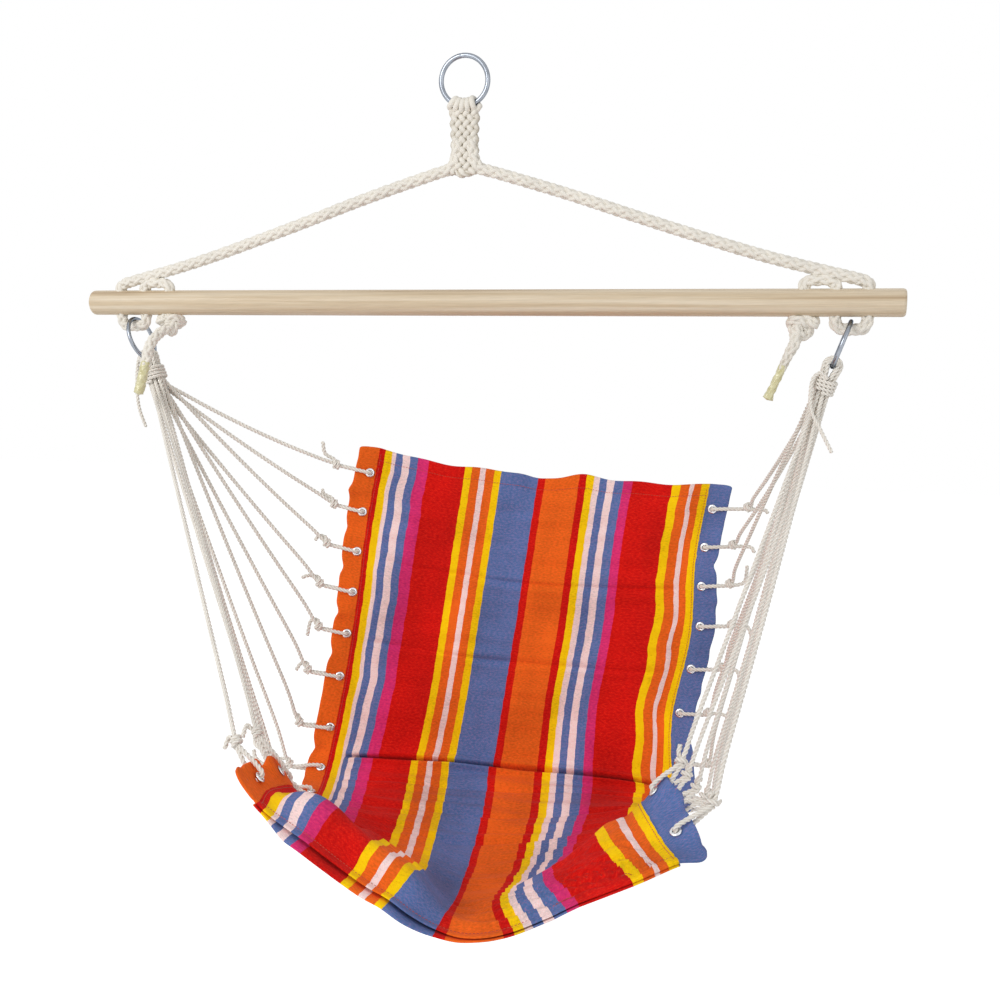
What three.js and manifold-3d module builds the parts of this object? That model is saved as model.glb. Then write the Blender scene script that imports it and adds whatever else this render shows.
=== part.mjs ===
// Hammock chair: a padded cloth seat hung by two fans of cord from a wooden spreader bar,
// which a rope yoke carries from one steel ring.
// Millimetres, +Z up, +X along the bar, the sitter faces -Y.
// The origin is the hang point, the inside top of the hanging ring.

import * as THREE from "three";
import { mergeVertices } from "three/addons/utils/BufferGeometryUtils.js";
import Module from "manifold-3d";

const wasm = await Module();
wasm.setup();

// Sizes that can be set by themselves
const clearance = 0.3; // between pieces that touch on the real chair
const overrun = 5; // how far a cutter runs past what it cuts
const weld = 1e-4; // points nearer than this are one

const ringOuterDiameter = 62; // hanging ring
const ringWire = 5.8;

const barLength = 1000; // spreader bar
const barDiameter = 31;
const barDrop = 279; // hang point down to the bar's axis
const barEndRound = 4;
const holeInset = 40; // bar end to the outer hole
const holePitch = 34.5; // from hole to hole

const yokeRope = 11.5; // rope of the two arms
const loopDrop = 29; // bar axis down to the rope loop that carries the small ring
const bumpRise = 25; // bar axis up to the rope where it crosses between two holes
const ropeTurn = 9.2; // radius of its turns there
const ropeStraight = 1.5; // how far it stays straight past the bar
const stopperDiameter = 27; // knot under the inner hole
const stopperHeight = 22;
const tapeDiameter = 13; // taped end of the rope
const tapeLength = 40;

const strand = 3.8; // strand that is wound on the hanging ring
const strandTurns = 5;
const strandPitch = 5.8;
const strandSlack = 1.4; // wire to strand, so that the yoke can swing on the ring
const bandWidth = 34; // plaited band under the ring
const bandDepth = 15;
const bandLength = 72;
const bandRound = 3;
const armRise = 7.5; // band's lower end up to the arms

const smallRingOuterDiameter = 58; // ring that carries a fan of cords
const smallRingWire = 5;
const harnessLean = 20 * (Math.PI / 180); // the small rings lean in toward the seat

const cord = 4.6; // harness cord
const cordPitch = 5; // between neighbours under the ring
const cordRowGap = 5.4; // between the two rows of legs inside the whipping
const whippingCord = 3;
const whippingTurns = 4;
const whippingPitch = 3.9;
const whippingDrop = 19; // small ring's wire down to the first turn
const bightGap = 0.9; // small ring's wire to the cord laid over it
const knotDiameter = 9;
const knotLength = 11;
const knotReach = 13; // hem edge out to the knot
const tailOut = 14; // loose end past the knot, outward
const tailFall = 21; // and downward
const sag = 5; // how far a slack leg hangs below the straight line

const clothWidth = 510; // across the sitter
const clothLength = 960; // from the top of the back to the front of the seat
const coverThickness = 1.2;
const padThickness = 9;
const padInset = 9; // padding back from the hems
const endHem = 16; // unpadded hem at the top and at the front
const padEdge = 26; // distance over which the padding swells to its full thickness
const hemWidth = 28;
const hemThickness = 3;
const frontLift = 8; // the front hangs more like a V than a bow: how far its quarters rise

const eyeletFlange = 12.6;
const eyeletBore = 6;
const eyeletWall = 0.7;
const eyeletInset = 20; // hem edge in to the eyelet
const eyeletGap = 0.95; // flange to cloth

// Counts
const cordsPerSide = 7;
const clothColumns = 5;
const cordSides = 6;
const loopSides = 5;
const eyeletSides = 6;
const legSides = 5;
const ropeSides = 8;
const roundSides = 18;

// Derived sizes of the frame and of the harness
const ringCentreDrop = ringOuterDiameter / 2 - ringWire;
const ringMid = ringOuterDiameter / 2 - ringWire / 2;
const holeX = [0, 1, 2].map((i) => barLength / 2 - holeInset - i * holePitch);
const holeDiameter = yokeRope + 2 * clearance;
const strandReach = ringWire / 2 + strandSlack + strand / 2; // ring wire out to the strand
const bandTop = ringCentreDrop + ringMid + strandReach;
const smallRingMid = smallRingOuterDiameter / 2 - smallRingWire / 2;
const cordRadius = cord / 2;
const rowHalf = cordRowGap / 2;
const whippingTop = smallRingMid + whippingDrop;
const whippingHeight = whippingTurns * whippingPitch;
const fanStart = whippingTop + whippingHeight + cord;
const bevelShare = 1 - Math.SQRT1_2; // where a quarter turn of unit radius passes its corner

const colours = {
  steel: { color: 0x9aa0ac, roughness: 0.28, metalness: 1 },
  wood: { color: 0xe2cda8, roughness: 0.7, metalness: 0 },
  rope: { color: 0xe3dccf, roughness: 0.95, metalness: 0 },
  cord: { color: 0xd5cabc, roughness: 0.95, metalness: 0 },
  red: { color: 0xc81214, roughness: 0.95, metalness: 0 },
  orange: { color: 0xde5a1e, roughness: 0.95, metalness: 0 },
  blue: { color: 0x5a6ca8, roughness: 0.95, metalness: 0 },
  filling: { color: 0xf2efe8, roughness: 1, metalness: 0 },
  tape: { color: 0xc8c088, roughness: 0.4, metalness: 0 },
};

const chair = new THREE.Group();

// Helpers for solids
const vec = (x, y, z) => new THREE.Vector3(x, y, z);

function merged(geometry) {
  const bare = geometry.clone();
  bare.deleteAttribute("normal");
  bare.deleteAttribute("uv");
  return mergeVertices(bare, weld);
}

// A closed geometry as a solid, turned the right way out.
function solidOf(geometry) {
  const g = merged(geometry);
  const triVerts = new Uint32Array(g.index.array);
  const make = () =>
    new wasm.Manifold(
      new wasm.Mesh({ numProp: 3, vertProperties: g.attributes.position.array, triVerts }),
    );
  const made = make();
  if (made.volume() > 0) return made;
  for (let i = 0; i < triVerts.length; i += 3) {
    const kept = triVerts[i];
    triVerts[i] = triVerts[i + 1];
    triVerts[i + 1] = kept;
  }
  return make();
}

function geometryOf(solid) {
  const mesh = solid.getMesh();
  const geometry = new THREE.BufferGeometry();
  geometry.setAttribute("position", new THREE.BufferAttribute(mesh.vertProperties, 3));
  geometry.setIndex(new THREE.BufferAttribute(mesh.triVerts, 1));
  geometry.computeVertexNormals();
  return geometry;
}

function addPiece(name, solid, look) {
  const mesh = new THREE.Mesh(geometryOf(solid), new THREE.MeshStandardMaterial(look));
  mesh.name = name;
  chair.add(mesh);
  return mesh;
}

// A curve whose rings fall exactly on the given points.
class Route extends THREE.Curve {
  constructor(points) {
    super();
    this.points = points;
  }
  getPoint(t, target = vec(0, 0, 0)) {
    const last = this.points.length - 1;
    const at = Math.min(Math.max(t, 0), 1) * last;
    const i = Math.min(Math.floor(at), last - 1);
    return target.lerpVectors(this.points[i], this.points[i + 1], at - i);
  }
  getPointAt(t, target) {
    return this.getPoint(t, target);
  }
  getTangentAt(t, target = vec(0, 0, 0)) {
    const last = this.points.length - 1;
    const i = Math.round(t * last);
    const before = this.points[Math.max(i - 1, 0)];
    const here = this.points[i];
    const after = this.points[Math.min(i + 1, last)];
    const arriving = i > 0 ? here.clone().sub(before).normalize() : vec(0, 0, 0);
    const leaving = i < last ? after.clone().sub(here).normalize() : vec(0, 0, 0);
    return target.copy(arriving.add(leaving)).normalize();
  }
}

// A round tube with one ring of sides at each point.
function tube(points, radius, sides = cordSides) {
  const section = new THREE.Shape(
    Array.from({ length: sides }, (_, i) => {
      const turn = (2 * Math.PI * i) / sides;
      return new THREE.Vector2(radius * Math.cos(turn), radius * Math.sin(turn));
    }),
  );
  return solidOf(
    new THREE.ExtrudeGeometry(section, {
      steps: points.length - 1,
      extrudePath: new Route(points),
      bevelEnabled: false,
    }),
  );
}

// Prints the least gap between a winding and itself, measured on its points.
function report(name, points, thickness, stepsPerTurn) {
  let least = Infinity;
  points.forEach((p, i) =>
    points.slice(i + Math.floor(stepsPerTurn / 2)).forEach((q) => {
      least = Math.min(least, p.distanceTo(q));
    }),
  );
  console.log(`${name}: least gap to itself ${(least - thickness).toFixed(2)} mm`);
}

function placed(geometry, matrix) {
  return solidOf(geometry.clone().applyMatrix4(matrix));
}

// A matrix that turns +Z to the given axis and moves the origin to the given place.
function aimed(place, axis) {
  const turn = new THREE.Quaternion().setFromUnitVectors(vec(0, 0, 1), axis.clone().normalize());
  return new THREE.Matrix4().compose(place, turn, vec(1, 1, 1));
}

function ballAt(place, width, height, axis, sides) {
  const ball = new THREE.SphereGeometry(width / 2, sides, sides - 2);
  ball.rotateX(Math.PI / 2);
  ball.scale(1, 1, height / width);
  return placed(ball, aimed(place, axis));
}

// Solids joined into one body; a closed pocket between a cord and its own knot is filled.
function joined(solids) {
  const whole = solids.reduce((sum, next) => sum.add(next));
  return whole.decompose().reduce((most, next) => (next.volume() > most.volume() ? next : most));
}

// The cloth's middle surface

// Each row crosses the cloth: how far down its length, then left edge, middle and right edge.
// x is a share of the cloth's width, y and z are shares of its length, z from the bar down.
const clothShares = [
  [0, [-0.365, 0.131, -0.197], [0.085, 0.216, -0.246], [0.595, 0.224, -0.248]],
  [0.11, [-0.398, 0.116, -0.302], [0.06, 0.202, -0.354], [0.565, 0.21, -0.349]],
  [0.22, [-0.416, 0.1, -0.412], [0.038, 0.184, -0.459], [0.563, 0.194, -0.455]],
  [0.33, [-0.445, 0.084, -0.528], [0.017, 0.158, -0.564], [0.52, 0.175, -0.572]],
  [0.425, [-0.483, 0.066, -0.645], [0.008, 0.116, -0.657], [0.533, 0.152, -0.674]],
  [0.53, [-0.449, -0.015, -0.656], [0.052, 0.005, -0.669], [0.542, 0.062, -0.651]],
  [0.64, [-0.39, -0.112, -0.609], [0.083, -0.109, -0.674], [0.543, -0.042, -0.604]],
  [0.75, [-0.322, -0.21, -0.547], [0.11, -0.22, -0.665], [0.546, -0.141, -0.553]],
  [0.86, [-0.254, -0.304, -0.49], [0.145, -0.325, -0.635], [0.549, -0.235, -0.498]],
  [1, [-0.248, -0.401, -0.469], [0.188, -0.438, -0.593], [0.656, -0.317, -0.544]],
];

const edgeCurves = [1, 2, 3].map(
  (column) =>
    new THREE.CatmullRomCurve3(
      clothShares.map((row) => {
        const [x, y, z] = row[column];
        return vec(x * clothWidth, y * clothLength, z * clothLength - barDrop);
      }),
      false,
      "catmullrom",
    ),
);

// The share of the way through the rows of the table at a share of the cloth's length.
function rowShareAt(v) {
  const last = clothShares.length - 1;
  const found = clothShares.findIndex((row) => row[0] > v);
  const i = found < 0 ? last - 1 : Math.max(found - 1, 0);
  const [from] = clothShares[i];
  const [to] = clothShares[i + 1];
  return (i + (v - from) / (to - from)) / last;
}

function middleSurface(u, v) {
  const at = Math.min(Math.max(rowShareAt(v), 0), 1);
  const [left, middle, right] = edgeCurves.map((curve) => curve.getPoint(at));
  const quarters = Math.sin(2 * Math.PI * u);
  const lift = frontLift * v * v * v * quarters * quarters;
  return left
    .multiplyScalar((1 - u) * (1 - 2 * u))
    .add(middle.multiplyScalar(4 * u * (1 - u)))
    .add(right.multiplyScalar(u * (2 * u - 1)))
    .add(vec(0, 0, lift));
}

// Unit vectors at a place on the cloth: across to the right, down its length, and toward the sitter.
function clothFrame(u, v) {
  const stepShare = 0.004;
  const vLow = Math.max(v - stepShare, 0);
  const vHigh = Math.min(v + stepShare, 1);
  const place = middleSurface(u, v);
  const across = middleSurface(u + stepShare, v).sub(middleSurface(u - stepShare, v)).normalize();
  const along = middleSurface(u, vHigh).sub(middleSurface(u, vLow)).normalize();
  const normal = along.clone().cross(across).normalize();
  return { place, across, along, normal };
}

function offCloth(u, v, height) {
  const { place, normal } = clothFrame(u, v);
  return place.addScaledVector(normal, height);
}

// The padding's half thickness: full in the middle, nothing at its edges, pinched at the creases.
// Each crease: where along the cloth's length, how deep as a share, how wide as a share of the length.
const seatCreaseShare = 0.415;
const creaseShares = [
  [0.154, 0.45, 0.012],
  [0.27, 0.45, 0.012],
  [seatCreaseShare, 0.9, 0.016],
  [0.62, 0.35, 0.014],
  [0.86, 0.7, 0.014],
];

function padHalf(u, v) {
  const side = Math.min(u, 1 - u) * clothWidth - hemWidth - padInset;
  const end = Math.min(v, 1 - v) * clothLength - endHem;
  const swell = (distance) => Math.sin((Math.min(Math.max(distance / padEdge, 0), 1) * Math.PI) / 2);
  const crease = creaseShares.reduce((left, [at, depth, width]) => {
    const away = (v - at) / width;
    return left * (1 - depth * Math.exp(-away * away));
  }, 1);
  return (padThickness / 2) * swell(side) * swell(end) * crease;
}

// A sheet between two heights over the cloth's middle surface, on a grid of shares.
function sheet(us, vs, low, high) {
  const geometry = new THREE.BufferGeometry();
  const across = us.length;
  const points = [];
  for (const height of [low, high])
    for (const v of vs) for (const u of us) points.push(offCloth(u, v, height(u, v)));
  const at = (layer, row, column) => (layer * vs.length + row) * across + column;
  const faces = [];
  const quad = (a, b, c, d) => faces.push(a, b, c, a, c, d);
  for (let row = 0; row < vs.length - 1; row++)
    for (let column = 0; column < across - 1; column++) {
      const corners = (layer) => [
        at(layer, row, column),
        at(layer, row + 1, column),
        at(layer, row + 1, column + 1),
        at(layer, row, column + 1),
      ];
      const [a, b, c, d] = corners(1);
      quad(a, b, c, d);
      const [e, f, g, h] = corners(0);
      faces.push(e, g, f, e, h, g);
    }
  for (let row = 0; row < vs.length - 1; row++) {
    quad(at(0, row, 0), at(0, row + 1, 0), at(1, row + 1, 0), at(1, row, 0));
    const end = across - 1;
    quad(at(1, row, end), at(1, row + 1, end), at(0, row + 1, end), at(0, row, end));
  }
  for (let column = 0; column < across - 1; column++) {
    quad(at(0, 0, column + 1), at(0, 0, column), at(1, 0, column), at(1, 0, column + 1));
    const end = vs.length - 1;
    quad(at(0, end, column), at(0, end, column + 1), at(1, end, column + 1), at(1, end, column));
  }
  geometry.setAttribute(
    "position",
    new THREE.Float32BufferAttribute(points.flatMap((p) => [p.x, p.y, p.z]), 3),
  );
  geometry.setIndex(faces);
  return solidOf(geometry);
}

// Where the eyelets lie along a hem, as shares of the cloth's length.
const eyeletShares = [
  0.036, 0.093, 0.15, 0.207, 0.264, 0.322, 0.379, 0.436, 0.52, 0.605, 0.69, 0.775, 0.86, 0.945,
];

// Rows of the cloth's grid: one on each side of every eyelet, so that its seat is flat,
// and one in the crease between the back and the seat.
const eyeletHalfSeat = (eyeletFlange / 2 + clearance) / clothLength;
const gridRows = [
  0,
  ...eyeletShares.flatMap((share) => [share - eyeletHalfSeat, share + eyeletHalfSeat]),
  seatCreaseShare,
  1,
].sort((one, other) => one - other);

// Even steps from a first to a last share.
const steps = (first, last, count) =>
  Array.from({ length: count + 1 }, (_, i) => first + ((last - first) * i) / count);

// Hanging ring and yoke

function hangingRing() {
  const ring = new THREE.TorusGeometry(ringMid, ringWire / 2, 8, roundSides);
  ring.rotateX(Math.PI / 2);
  ring.translate(0, 0, -ringCentreDrop);
  addPiece("hanging_ring", solidOf(ring), colours.steel);
}

// The strand's turns round the bottom of the hanging ring, one unbroken tube.
function yokeTurns() {
  const stepsPerTurn = 11;
  const count = strandTurns * stepsPerTurn;
  const arc = (strandTurns * strandPitch) / ringMid;
  const points = Array.from({ length: count + 1 }, (_, i) => {
    const along = -arc / 2 + (arc * i) / count;
    const turn = Math.PI + (2 * Math.PI * i) / stepsPerTurn;
    const radius = ringMid - strandReach * Math.cos(turn);
    return vec(
      radius * Math.sin(along),
      strandReach * Math.sin(turn),
      -ringCentreDrop - radius * Math.cos(along),
    );
  });
  report("turns on the ring", points, strand, stepsPerTurn);
  return tube(points, strand / 2, loopSides);
}

// The band's outline on one side, top to bottom: shares of its half width and of its length.
const bandShares = [
  [1, 0],
  [0.94, 0.35],
  [1, 0.76],
  [1, 0.94],
  [0.55, 1],
];

// The plaited band that the turns run down into.
function yokeBand() {
  const rightSide = bandShares.map(([x, down]) => [(x * bandWidth) / 2, -down * bandLength]);
  const leftSide = rightSide.map(([x, z]) => [-x, z]).reverse();
  const outline = new THREE.Shape([...rightSide, ...leftSide].map(([x, z]) => new THREE.Vector2(x, z)));
  const band = new THREE.ExtrudeGeometry(outline, {
    depth: bandDepth - 2 * bandRound,
    bevelThickness: bandRound,
    bevelSize: bandRound,
    bevelOffset: -bandRound,
    bevelSegments: 1,
  });
  band.translate(0, 0, bandRound - bandDepth / 2);
  band.rotateX(Math.PI / 2);
  band.translate(0, 0, -bandTop);
  addPiece("yoke_band", solidOf(band).add(yokeTurns()), colours.rope);
}

// The arm between the band and the bar: shares of the way out and of the way down.
const armShares = [
  [0.27, 0.235],
  [0.5, 0.51],
  [0.75, 0.79],
];

// One arm of the yoke: from the band to the bar, down, round under it, up, over and down again.
function yokeArm(side, sign) {
  const [outer, middle, inner] = holeX;
  const armTop = -bandTop - bandLength + armRise;
  const start = bandWidth / 2 + clearance;
  const loop = -barDrop - loopDrop;
  const bump = -barDrop + bumpRise;
  const above = -barDrop + barDiameter / 2 + ropeStraight;
  const below = -barDrop - barDiameter / 2 - ropeStraight;
  const cut = ropeTurn * bevelShare;
  const points = [
    [start, armTop],
    [start + yokeRope / 2, armTop],
    [start + yokeRope + ropeTurn, armTop - yokeRope / 3],
    ...armShares.map(([out, down]) => [outer * out, armTop - (armTop - bump) * down]),
    [outer - 2 * ropeTurn, bump + ropeTurn / 4],
    [outer - ropeTurn, bump],
    [outer - cut, bump - cut],
    [outer, above],
    [outer, below],
    [outer - cut, loop + cut],
    [outer - ropeTurn, loop],
    [middle + ropeTurn, loop],
    [middle + cut, loop + cut],
    [middle, below],
    [middle, above],
    [middle - cut, bump - cut],
    [middle - ropeTurn, bump],
    [inner + ropeTurn, bump],
    [inner + cut, bump - cut],
    [inner, above],
    [inner, -barDrop - barDiameter / 2 - clearance],
  ].map(([x, z]) => vec(sign * x, 0, z));
  addPiece(`yoke_rope_${side}`, tube(points, yokeRope / 2, ropeSides), colours.rope);
}

// The rope's loose end, from the middle of its stopper knot: x inboard, y and z, in rope widths.
const leftTailShares = [
  [0, 0, 0],
  [0.26, -1.65, -0.78],
  [0.7, -3.4, -2.17],
  [0.87, -4.1, -4],
];
const rightTailShares = [
  [0, 0, 0],
  [-0.6, -0.7, -1.2],
  [-1.2, -0.95, -2.6],
  [-1.65, -1.05, -3.65],
];

// The stopper knot under the inner hole, with the rope's loose end and the tape round it.
function stopper(side, sign, tailShares) {
  const top = -barDrop - barDiameter / 2 - 2 * clearance;
  const middle = vec(sign * holeX[2], 0, top - stopperHeight / 2);
  const knot = ballAt(middle, stopperDiameter, stopperHeight, vec(0, 0, 1), 8);
  const tail = tailShares.map(([x, y, z]) =>
    vec(sign * x, y, z).multiplyScalar(yokeRope).add(middle),
  );
  const end = tail[tail.length - 1];
  const before = tail[tail.length - 2];
  const along = end.clone().sub(before).normalize();
  const rope = tube(tail, yokeRope / 2 - clearance, ropeSides);
  addPiece(`stopper_knot_${side}`, knot.add(rope), colours.rope);
  const sleeve = new THREE.CylinderGeometry(tapeDiameter / 2, tapeDiameter / 2, tapeLength, ropeSides);
  sleeve.rotateX(Math.PI / 2);
  const place = end.clone().addScaledVector(along, tapeLength / 2 + clearance);
  addPiece(`rope_end_tape_${side}`, placed(sleeve, aimed(place, along)), colours.tape);
}

function spreaderBar() {
  const radius = barDiameter / 2;
  const half = barLength / 2;
  const cut = barEndRound * bevelShare;
  const end = [
    [radius - barEndRound, half],
    [radius - cut, half - cut],
    [radius, half - barEndRound],
  ];
  const outline = [[0, half], ...end, ...end.map(([r, x]) => [r, -x]).reverse(), [0, -half]];
  const bar = new THREE.LatheGeometry(
    outline.reverse().map(([r, x]) => new THREE.Vector2(r, x)),
    roundSides,
  );
  bar.rotateZ(Math.PI / 2);
  bar.translate(0, 0, -barDrop);
  let body = solidOf(bar);
  for (const x of [...holeX, ...holeX.map((hole) => -hole)]) {
    const depth = barDiameter + 2 * overrun;
    const drill = new THREE.CylinderGeometry(holeDiameter / 2, holeDiameter / 2, depth, 2 * ropeSides);
    drill.rotateX(Math.PI / 2);
    drill.translate(x, 0, -barDrop);
    body = body.subtract(solidOf(drill));
  }
  addPiece("spreader_bar", body, colours.wood);
}

// Harness of one side

// Places and directions of one side's small ring: down along its lean, and inboard across it.
function harnessFrame(sign) {
  const down = vec(-sign * Math.sin(harnessLean), 0, -Math.cos(harnessLean));
  const inboard = vec(-sign * Math.cos(harnessLean), 0, Math.sin(harnessLean));
  const pivot = vec((sign * (holeX[0] + holeX[1])) / 2, 0, -barDrop - loopDrop);
  const wireTop = pivot.clone();
  wireTop.z += yokeRope / 2 + clearance + smallRingWire / 2;
  const centre = wireTop.addScaledVector(down, smallRingMid);
  return { down, inboard, centre };
}

function smallRing(side, frame) {
  const ring = new THREE.TorusGeometry(smallRingMid, smallRingWire / 2, 6, roundSides);
  addPiece(`small_ring_${side}`, placed(ring, aimed(frame.centre, frame.inboard)), colours.steel);
}

// A place in the harness: down from the ring's centre, along Y, and inboard.
const inHarness = (frame, down, y, inboard) =>
  frame.centre
    .clone()
    .addScaledVector(frame.down, down)
    .addScaledVector(frame.inboard, inboard)
    .add(vec(0, y, 0));

const slotY = (index) => ((cordsPerSide - 1) / 2 - index) * cordPitch;

// The cord wound round the bundle of legs under the small ring, one unbroken tube.
function whipping(side, frame) {
  const cornerShare = 0.35; // power that squares the turns: 1 is an ellipse, 0 a rectangle
  const grow = cordRadius + 2 * clearance + whippingCord / 2;
  const halfY = slotY(0) + grow;
  const halfIn = rowHalf + grow;
  const stepsPerTurn = 12;
  const count = whippingTurns * stepsPerTurn;
  const points = Array.from({ length: count + 1 }, (_, i) => {
    const turn = (2 * Math.PI * i) / stepsPerTurn;
    const fill = (value) => Math.sign(value) * Math.pow(Math.abs(value), cornerShare);
    const down = whippingTop + (whippingHeight * i) / count;
    return inHarness(frame, down, halfY * fill(Math.cos(turn)), halfIn * fill(Math.sin(turn)));
  });
  report(`whipping_${side}`, points, whippingCord, stepsPerTurn);
  addPiece(`whipping_${side}`, tube(points, whippingCord / 2, loopSides), colours.rope);
}

const hemU = (sign, distance) => (sign < 0 ? distance / clothWidth : 1 - distance / clothWidth);

const eyeletHalfHeight = hemThickness / 2 + eyeletGap + eyeletWall;

// The flat seat of one eyelet: its middle, the way out over the hem's edge, and the way to the sitter.
function eyeletSeat(sign, index) {
  const share = eyeletShares[index];
  const corner = (distance, end) => middleSurface(hemU(sign, distance), share + end * eyeletHalfSeat);
  const edge = corner(0, -1).lerp(corner(0, 1), 0.5);
  const seam = corner(hemWidth, -1).lerp(corner(hemWidth, 1), 0.5);
  const along = corner(eyeletInset, 1).sub(corner(eyeletInset, -1));
  const out = edge.clone().sub(seam).normalize();
  const normal = along.cross(out).multiplyScalar(sign).normalize();
  const place = edge.clone().addScaledVector(out, -eyeletInset);
  return { place, edge, out, normal };
}

function eyelet(side, sign, index) {
  const seat = eyeletSeat(sign, index);
  const bore = eyeletBore / 2;
  const barrel = bore + eyeletWall;
  const inside = hemThickness / 2 + eyeletGap;
  const ring = new THREE.LatheGeometry(
    [
      [bore, -eyeletHalfHeight],
      [eyeletFlange / 2, -inside],
      [barrel, -inside],
      [barrel, inside],
      [eyeletFlange / 2, inside],
      [bore, eyeletHalfHeight],
      [bore, -eyeletHalfHeight],
    ].map(([r, y]) => new THREE.Vector2(r, y)),
    eyeletSides,
  );
  ring.rotateX(Math.PI / 2);
  const number = String(index + 1).padStart(2, "0");
  addPiece(`eyelet_${side}_${number}`, placed(ring, aimed(seat.place, seat.normal)), colours.steel);
}

// One end of a harness cord: through the eyelet, round the hem's edge and knotted on itself.
function cordEnd(sign, index) {
  const { place, edge, out, normal } = eyeletSeat(sign, index);
  const knot = edge.clone().addScaledVector(out, knotReach);
  const lift = eyeletHalfHeight + clearance + cordRadius;
  const bend = cordRadius + clearance;
  const cut = bend * bevelShare;
  const edgeLift = lift - clearance;
  const at = (base, outward, height) =>
    base.clone().addScaledVector(out, outward).addScaledVector(normal, height);
  const loop = tube(
    [
      knot,
      at(edge, -clearance, edgeLift),
      at(place, bend, lift),
      at(place, cut, lift - cut),
      place,
      at(place, cut, cut - lift),
      at(place, bend, -lift),
      at(edge, -clearance, -edgeLift),
      knot,
    ],
    cordRadius,
    loopSides,
  );
  const tailEnd = knot.clone().addScaledVector(out, tailOut).add(vec(0, 0, -tailFall));
  const tail = tube([knot, tailEnd], cordRadius, loopSides);
  const ball = ballAt(knot, knotDiameter, knotLength, out, 6);
  return { knot, solids: [loop, tail, ball] };
}

// One harness cord: two legs from neighbouring eyelets, laid over the small ring's wire.
function harnessCord(side, sign, frame, index) {
  const y = slotY(index);
  const lean = Math.asin(y / smallRingMid);
  const wireBottom = smallRingMid * Math.cos(lean);
  const wireClear = smallRingWire / 2 / Math.cos(lean) + bightGap + cordRadius;
  const reach = wireClear / Math.cos(Math.PI / 6); // the bight is half of a hexagon round the wire
  const ends = [cordEnd(sign, 2 * index), cordEnd(sign, 2 * index + 1)];
  const leg = (end, row) => {
    const head = inHarness(frame, fanStart, y, row * rowHalf);
    const half = end.knot.clone().lerp(head, 1 / 2).add(vec(0, 0, -sag));
    return [end.knot, half, head, inHarness(frame, whippingTop - cord, y, row * rowHalf)];
  };
  const bight = [0, 1, 2, 3].map((i) => {
    const turn = (Math.PI * i) / 3;
    return inHarness(frame, wireBottom - reach * Math.sin(turn), y, reach * Math.cos(turn));
  });
  const points = [...leg(ends[0], 1), ...bight, ...leg(ends[1], -1).reverse()];
  const solids = [tube(points, cordRadius, legSides), ...ends[0].solids, ...ends[1].solids];
  addPiece(`harness_cord_${side}_${index + 1}`, joined(solids), colours.cord);
}

// Seat cloth

// Columns of the covers' grid: the seam at the hem, the padding's edge, and even steps between.
function coverColumns() {
  const seam = (hemWidth + clearance) / clothWidth;
  const pad = (hemWidth + padInset) / clothWidth;
  return [seam, ...steps(pad, 1 - pad, clothColumns), 1 - seam];
}

function covers() {
  const us = coverColumns();
  const under = (u, v) => padHalf(u, v) + clearance;
  const over = (u, v) => padHalf(u, v) + clearance + coverThickness;
  addPiece("top_cover", sheet(us, gridRows, under, over), colours.red);
  const flip = (height) => (u, v) => -height(u, v);
  addPiece("bottom_cover", sheet(us, gridRows, flip(over), flip(under)), colours.orange);
}

function padding() {
  const us = coverColumns().slice(1, -1);
  const vs = gridRows.slice(1, -1);
  const height = (u, v) => padHalf(u, v) + clearance / 2;
  addPiece("padding", sheet(us, vs, (u, v) => -height(u, v), height), colours.filling);
}

function sideHem(side, sign, look) {
  const near = hemU(sign, 0);
  const far = hemU(sign, hemWidth);
  const us = sign < 0 ? [near, far] : [far, near];
  const flat = hemThickness / 2;
  let hem = sheet(us, gridRows, () => -flat, () => flat);
  for (let index = 0; index < eyeletShares.length; index++) {
    const seat = eyeletSeat(sign, index);
    const hole = eyeletBore / 2 + eyeletWall + clearance;
    const cutter = new THREE.CylinderGeometry(hole, hole, hemThickness + 2 * overrun, eyeletSides);
    cutter.rotateX(Math.PI / 2);
    hem = hem.subtract(placed(cutter, aimed(seat.place, seat.normal)));
  }
  addPiece(`side_hem_${side}`, hem, look);
}

// The whole chair
hangingRing();
yokeBand();
spreaderBar();
for (const [side, sign, look, tailShares] of [
  ["left", -1, colours.orange, leftTailShares],
  ["right", 1, colours.blue, rightTailShares],
]) {
  yokeArm(side, sign);
  stopper(side, sign, tailShares);
  const frame = harnessFrame(sign);
  smallRing(side, frame);
  whipping(side, frame);
  for (let index = 0; index < cordsPerSide; index++) harnessCord(side, sign, frame, index);
  for (let index = 0; index < eyeletShares.length; index++) eyelet(side, sign, index);
  sideHem(side, sign, look);
}
covers();
padding();

export default chair;
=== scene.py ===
# %% [markdown]
# # A hammock chair
# The chair hangs from one steel ring. A plaited rope band runs down from the ring and parts
# into two arms, which are rove through a wooden spreader bar. Under each end of the bar a
# small ring carries a fan of twisted cords, and the cords carry a striped, padded cloth.
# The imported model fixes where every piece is. This lesson gives each piece its real surface.

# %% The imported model
import math

import bmesh
import bpy
import numpy as np
from mathutils import Matrix, Vector, noise


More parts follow.
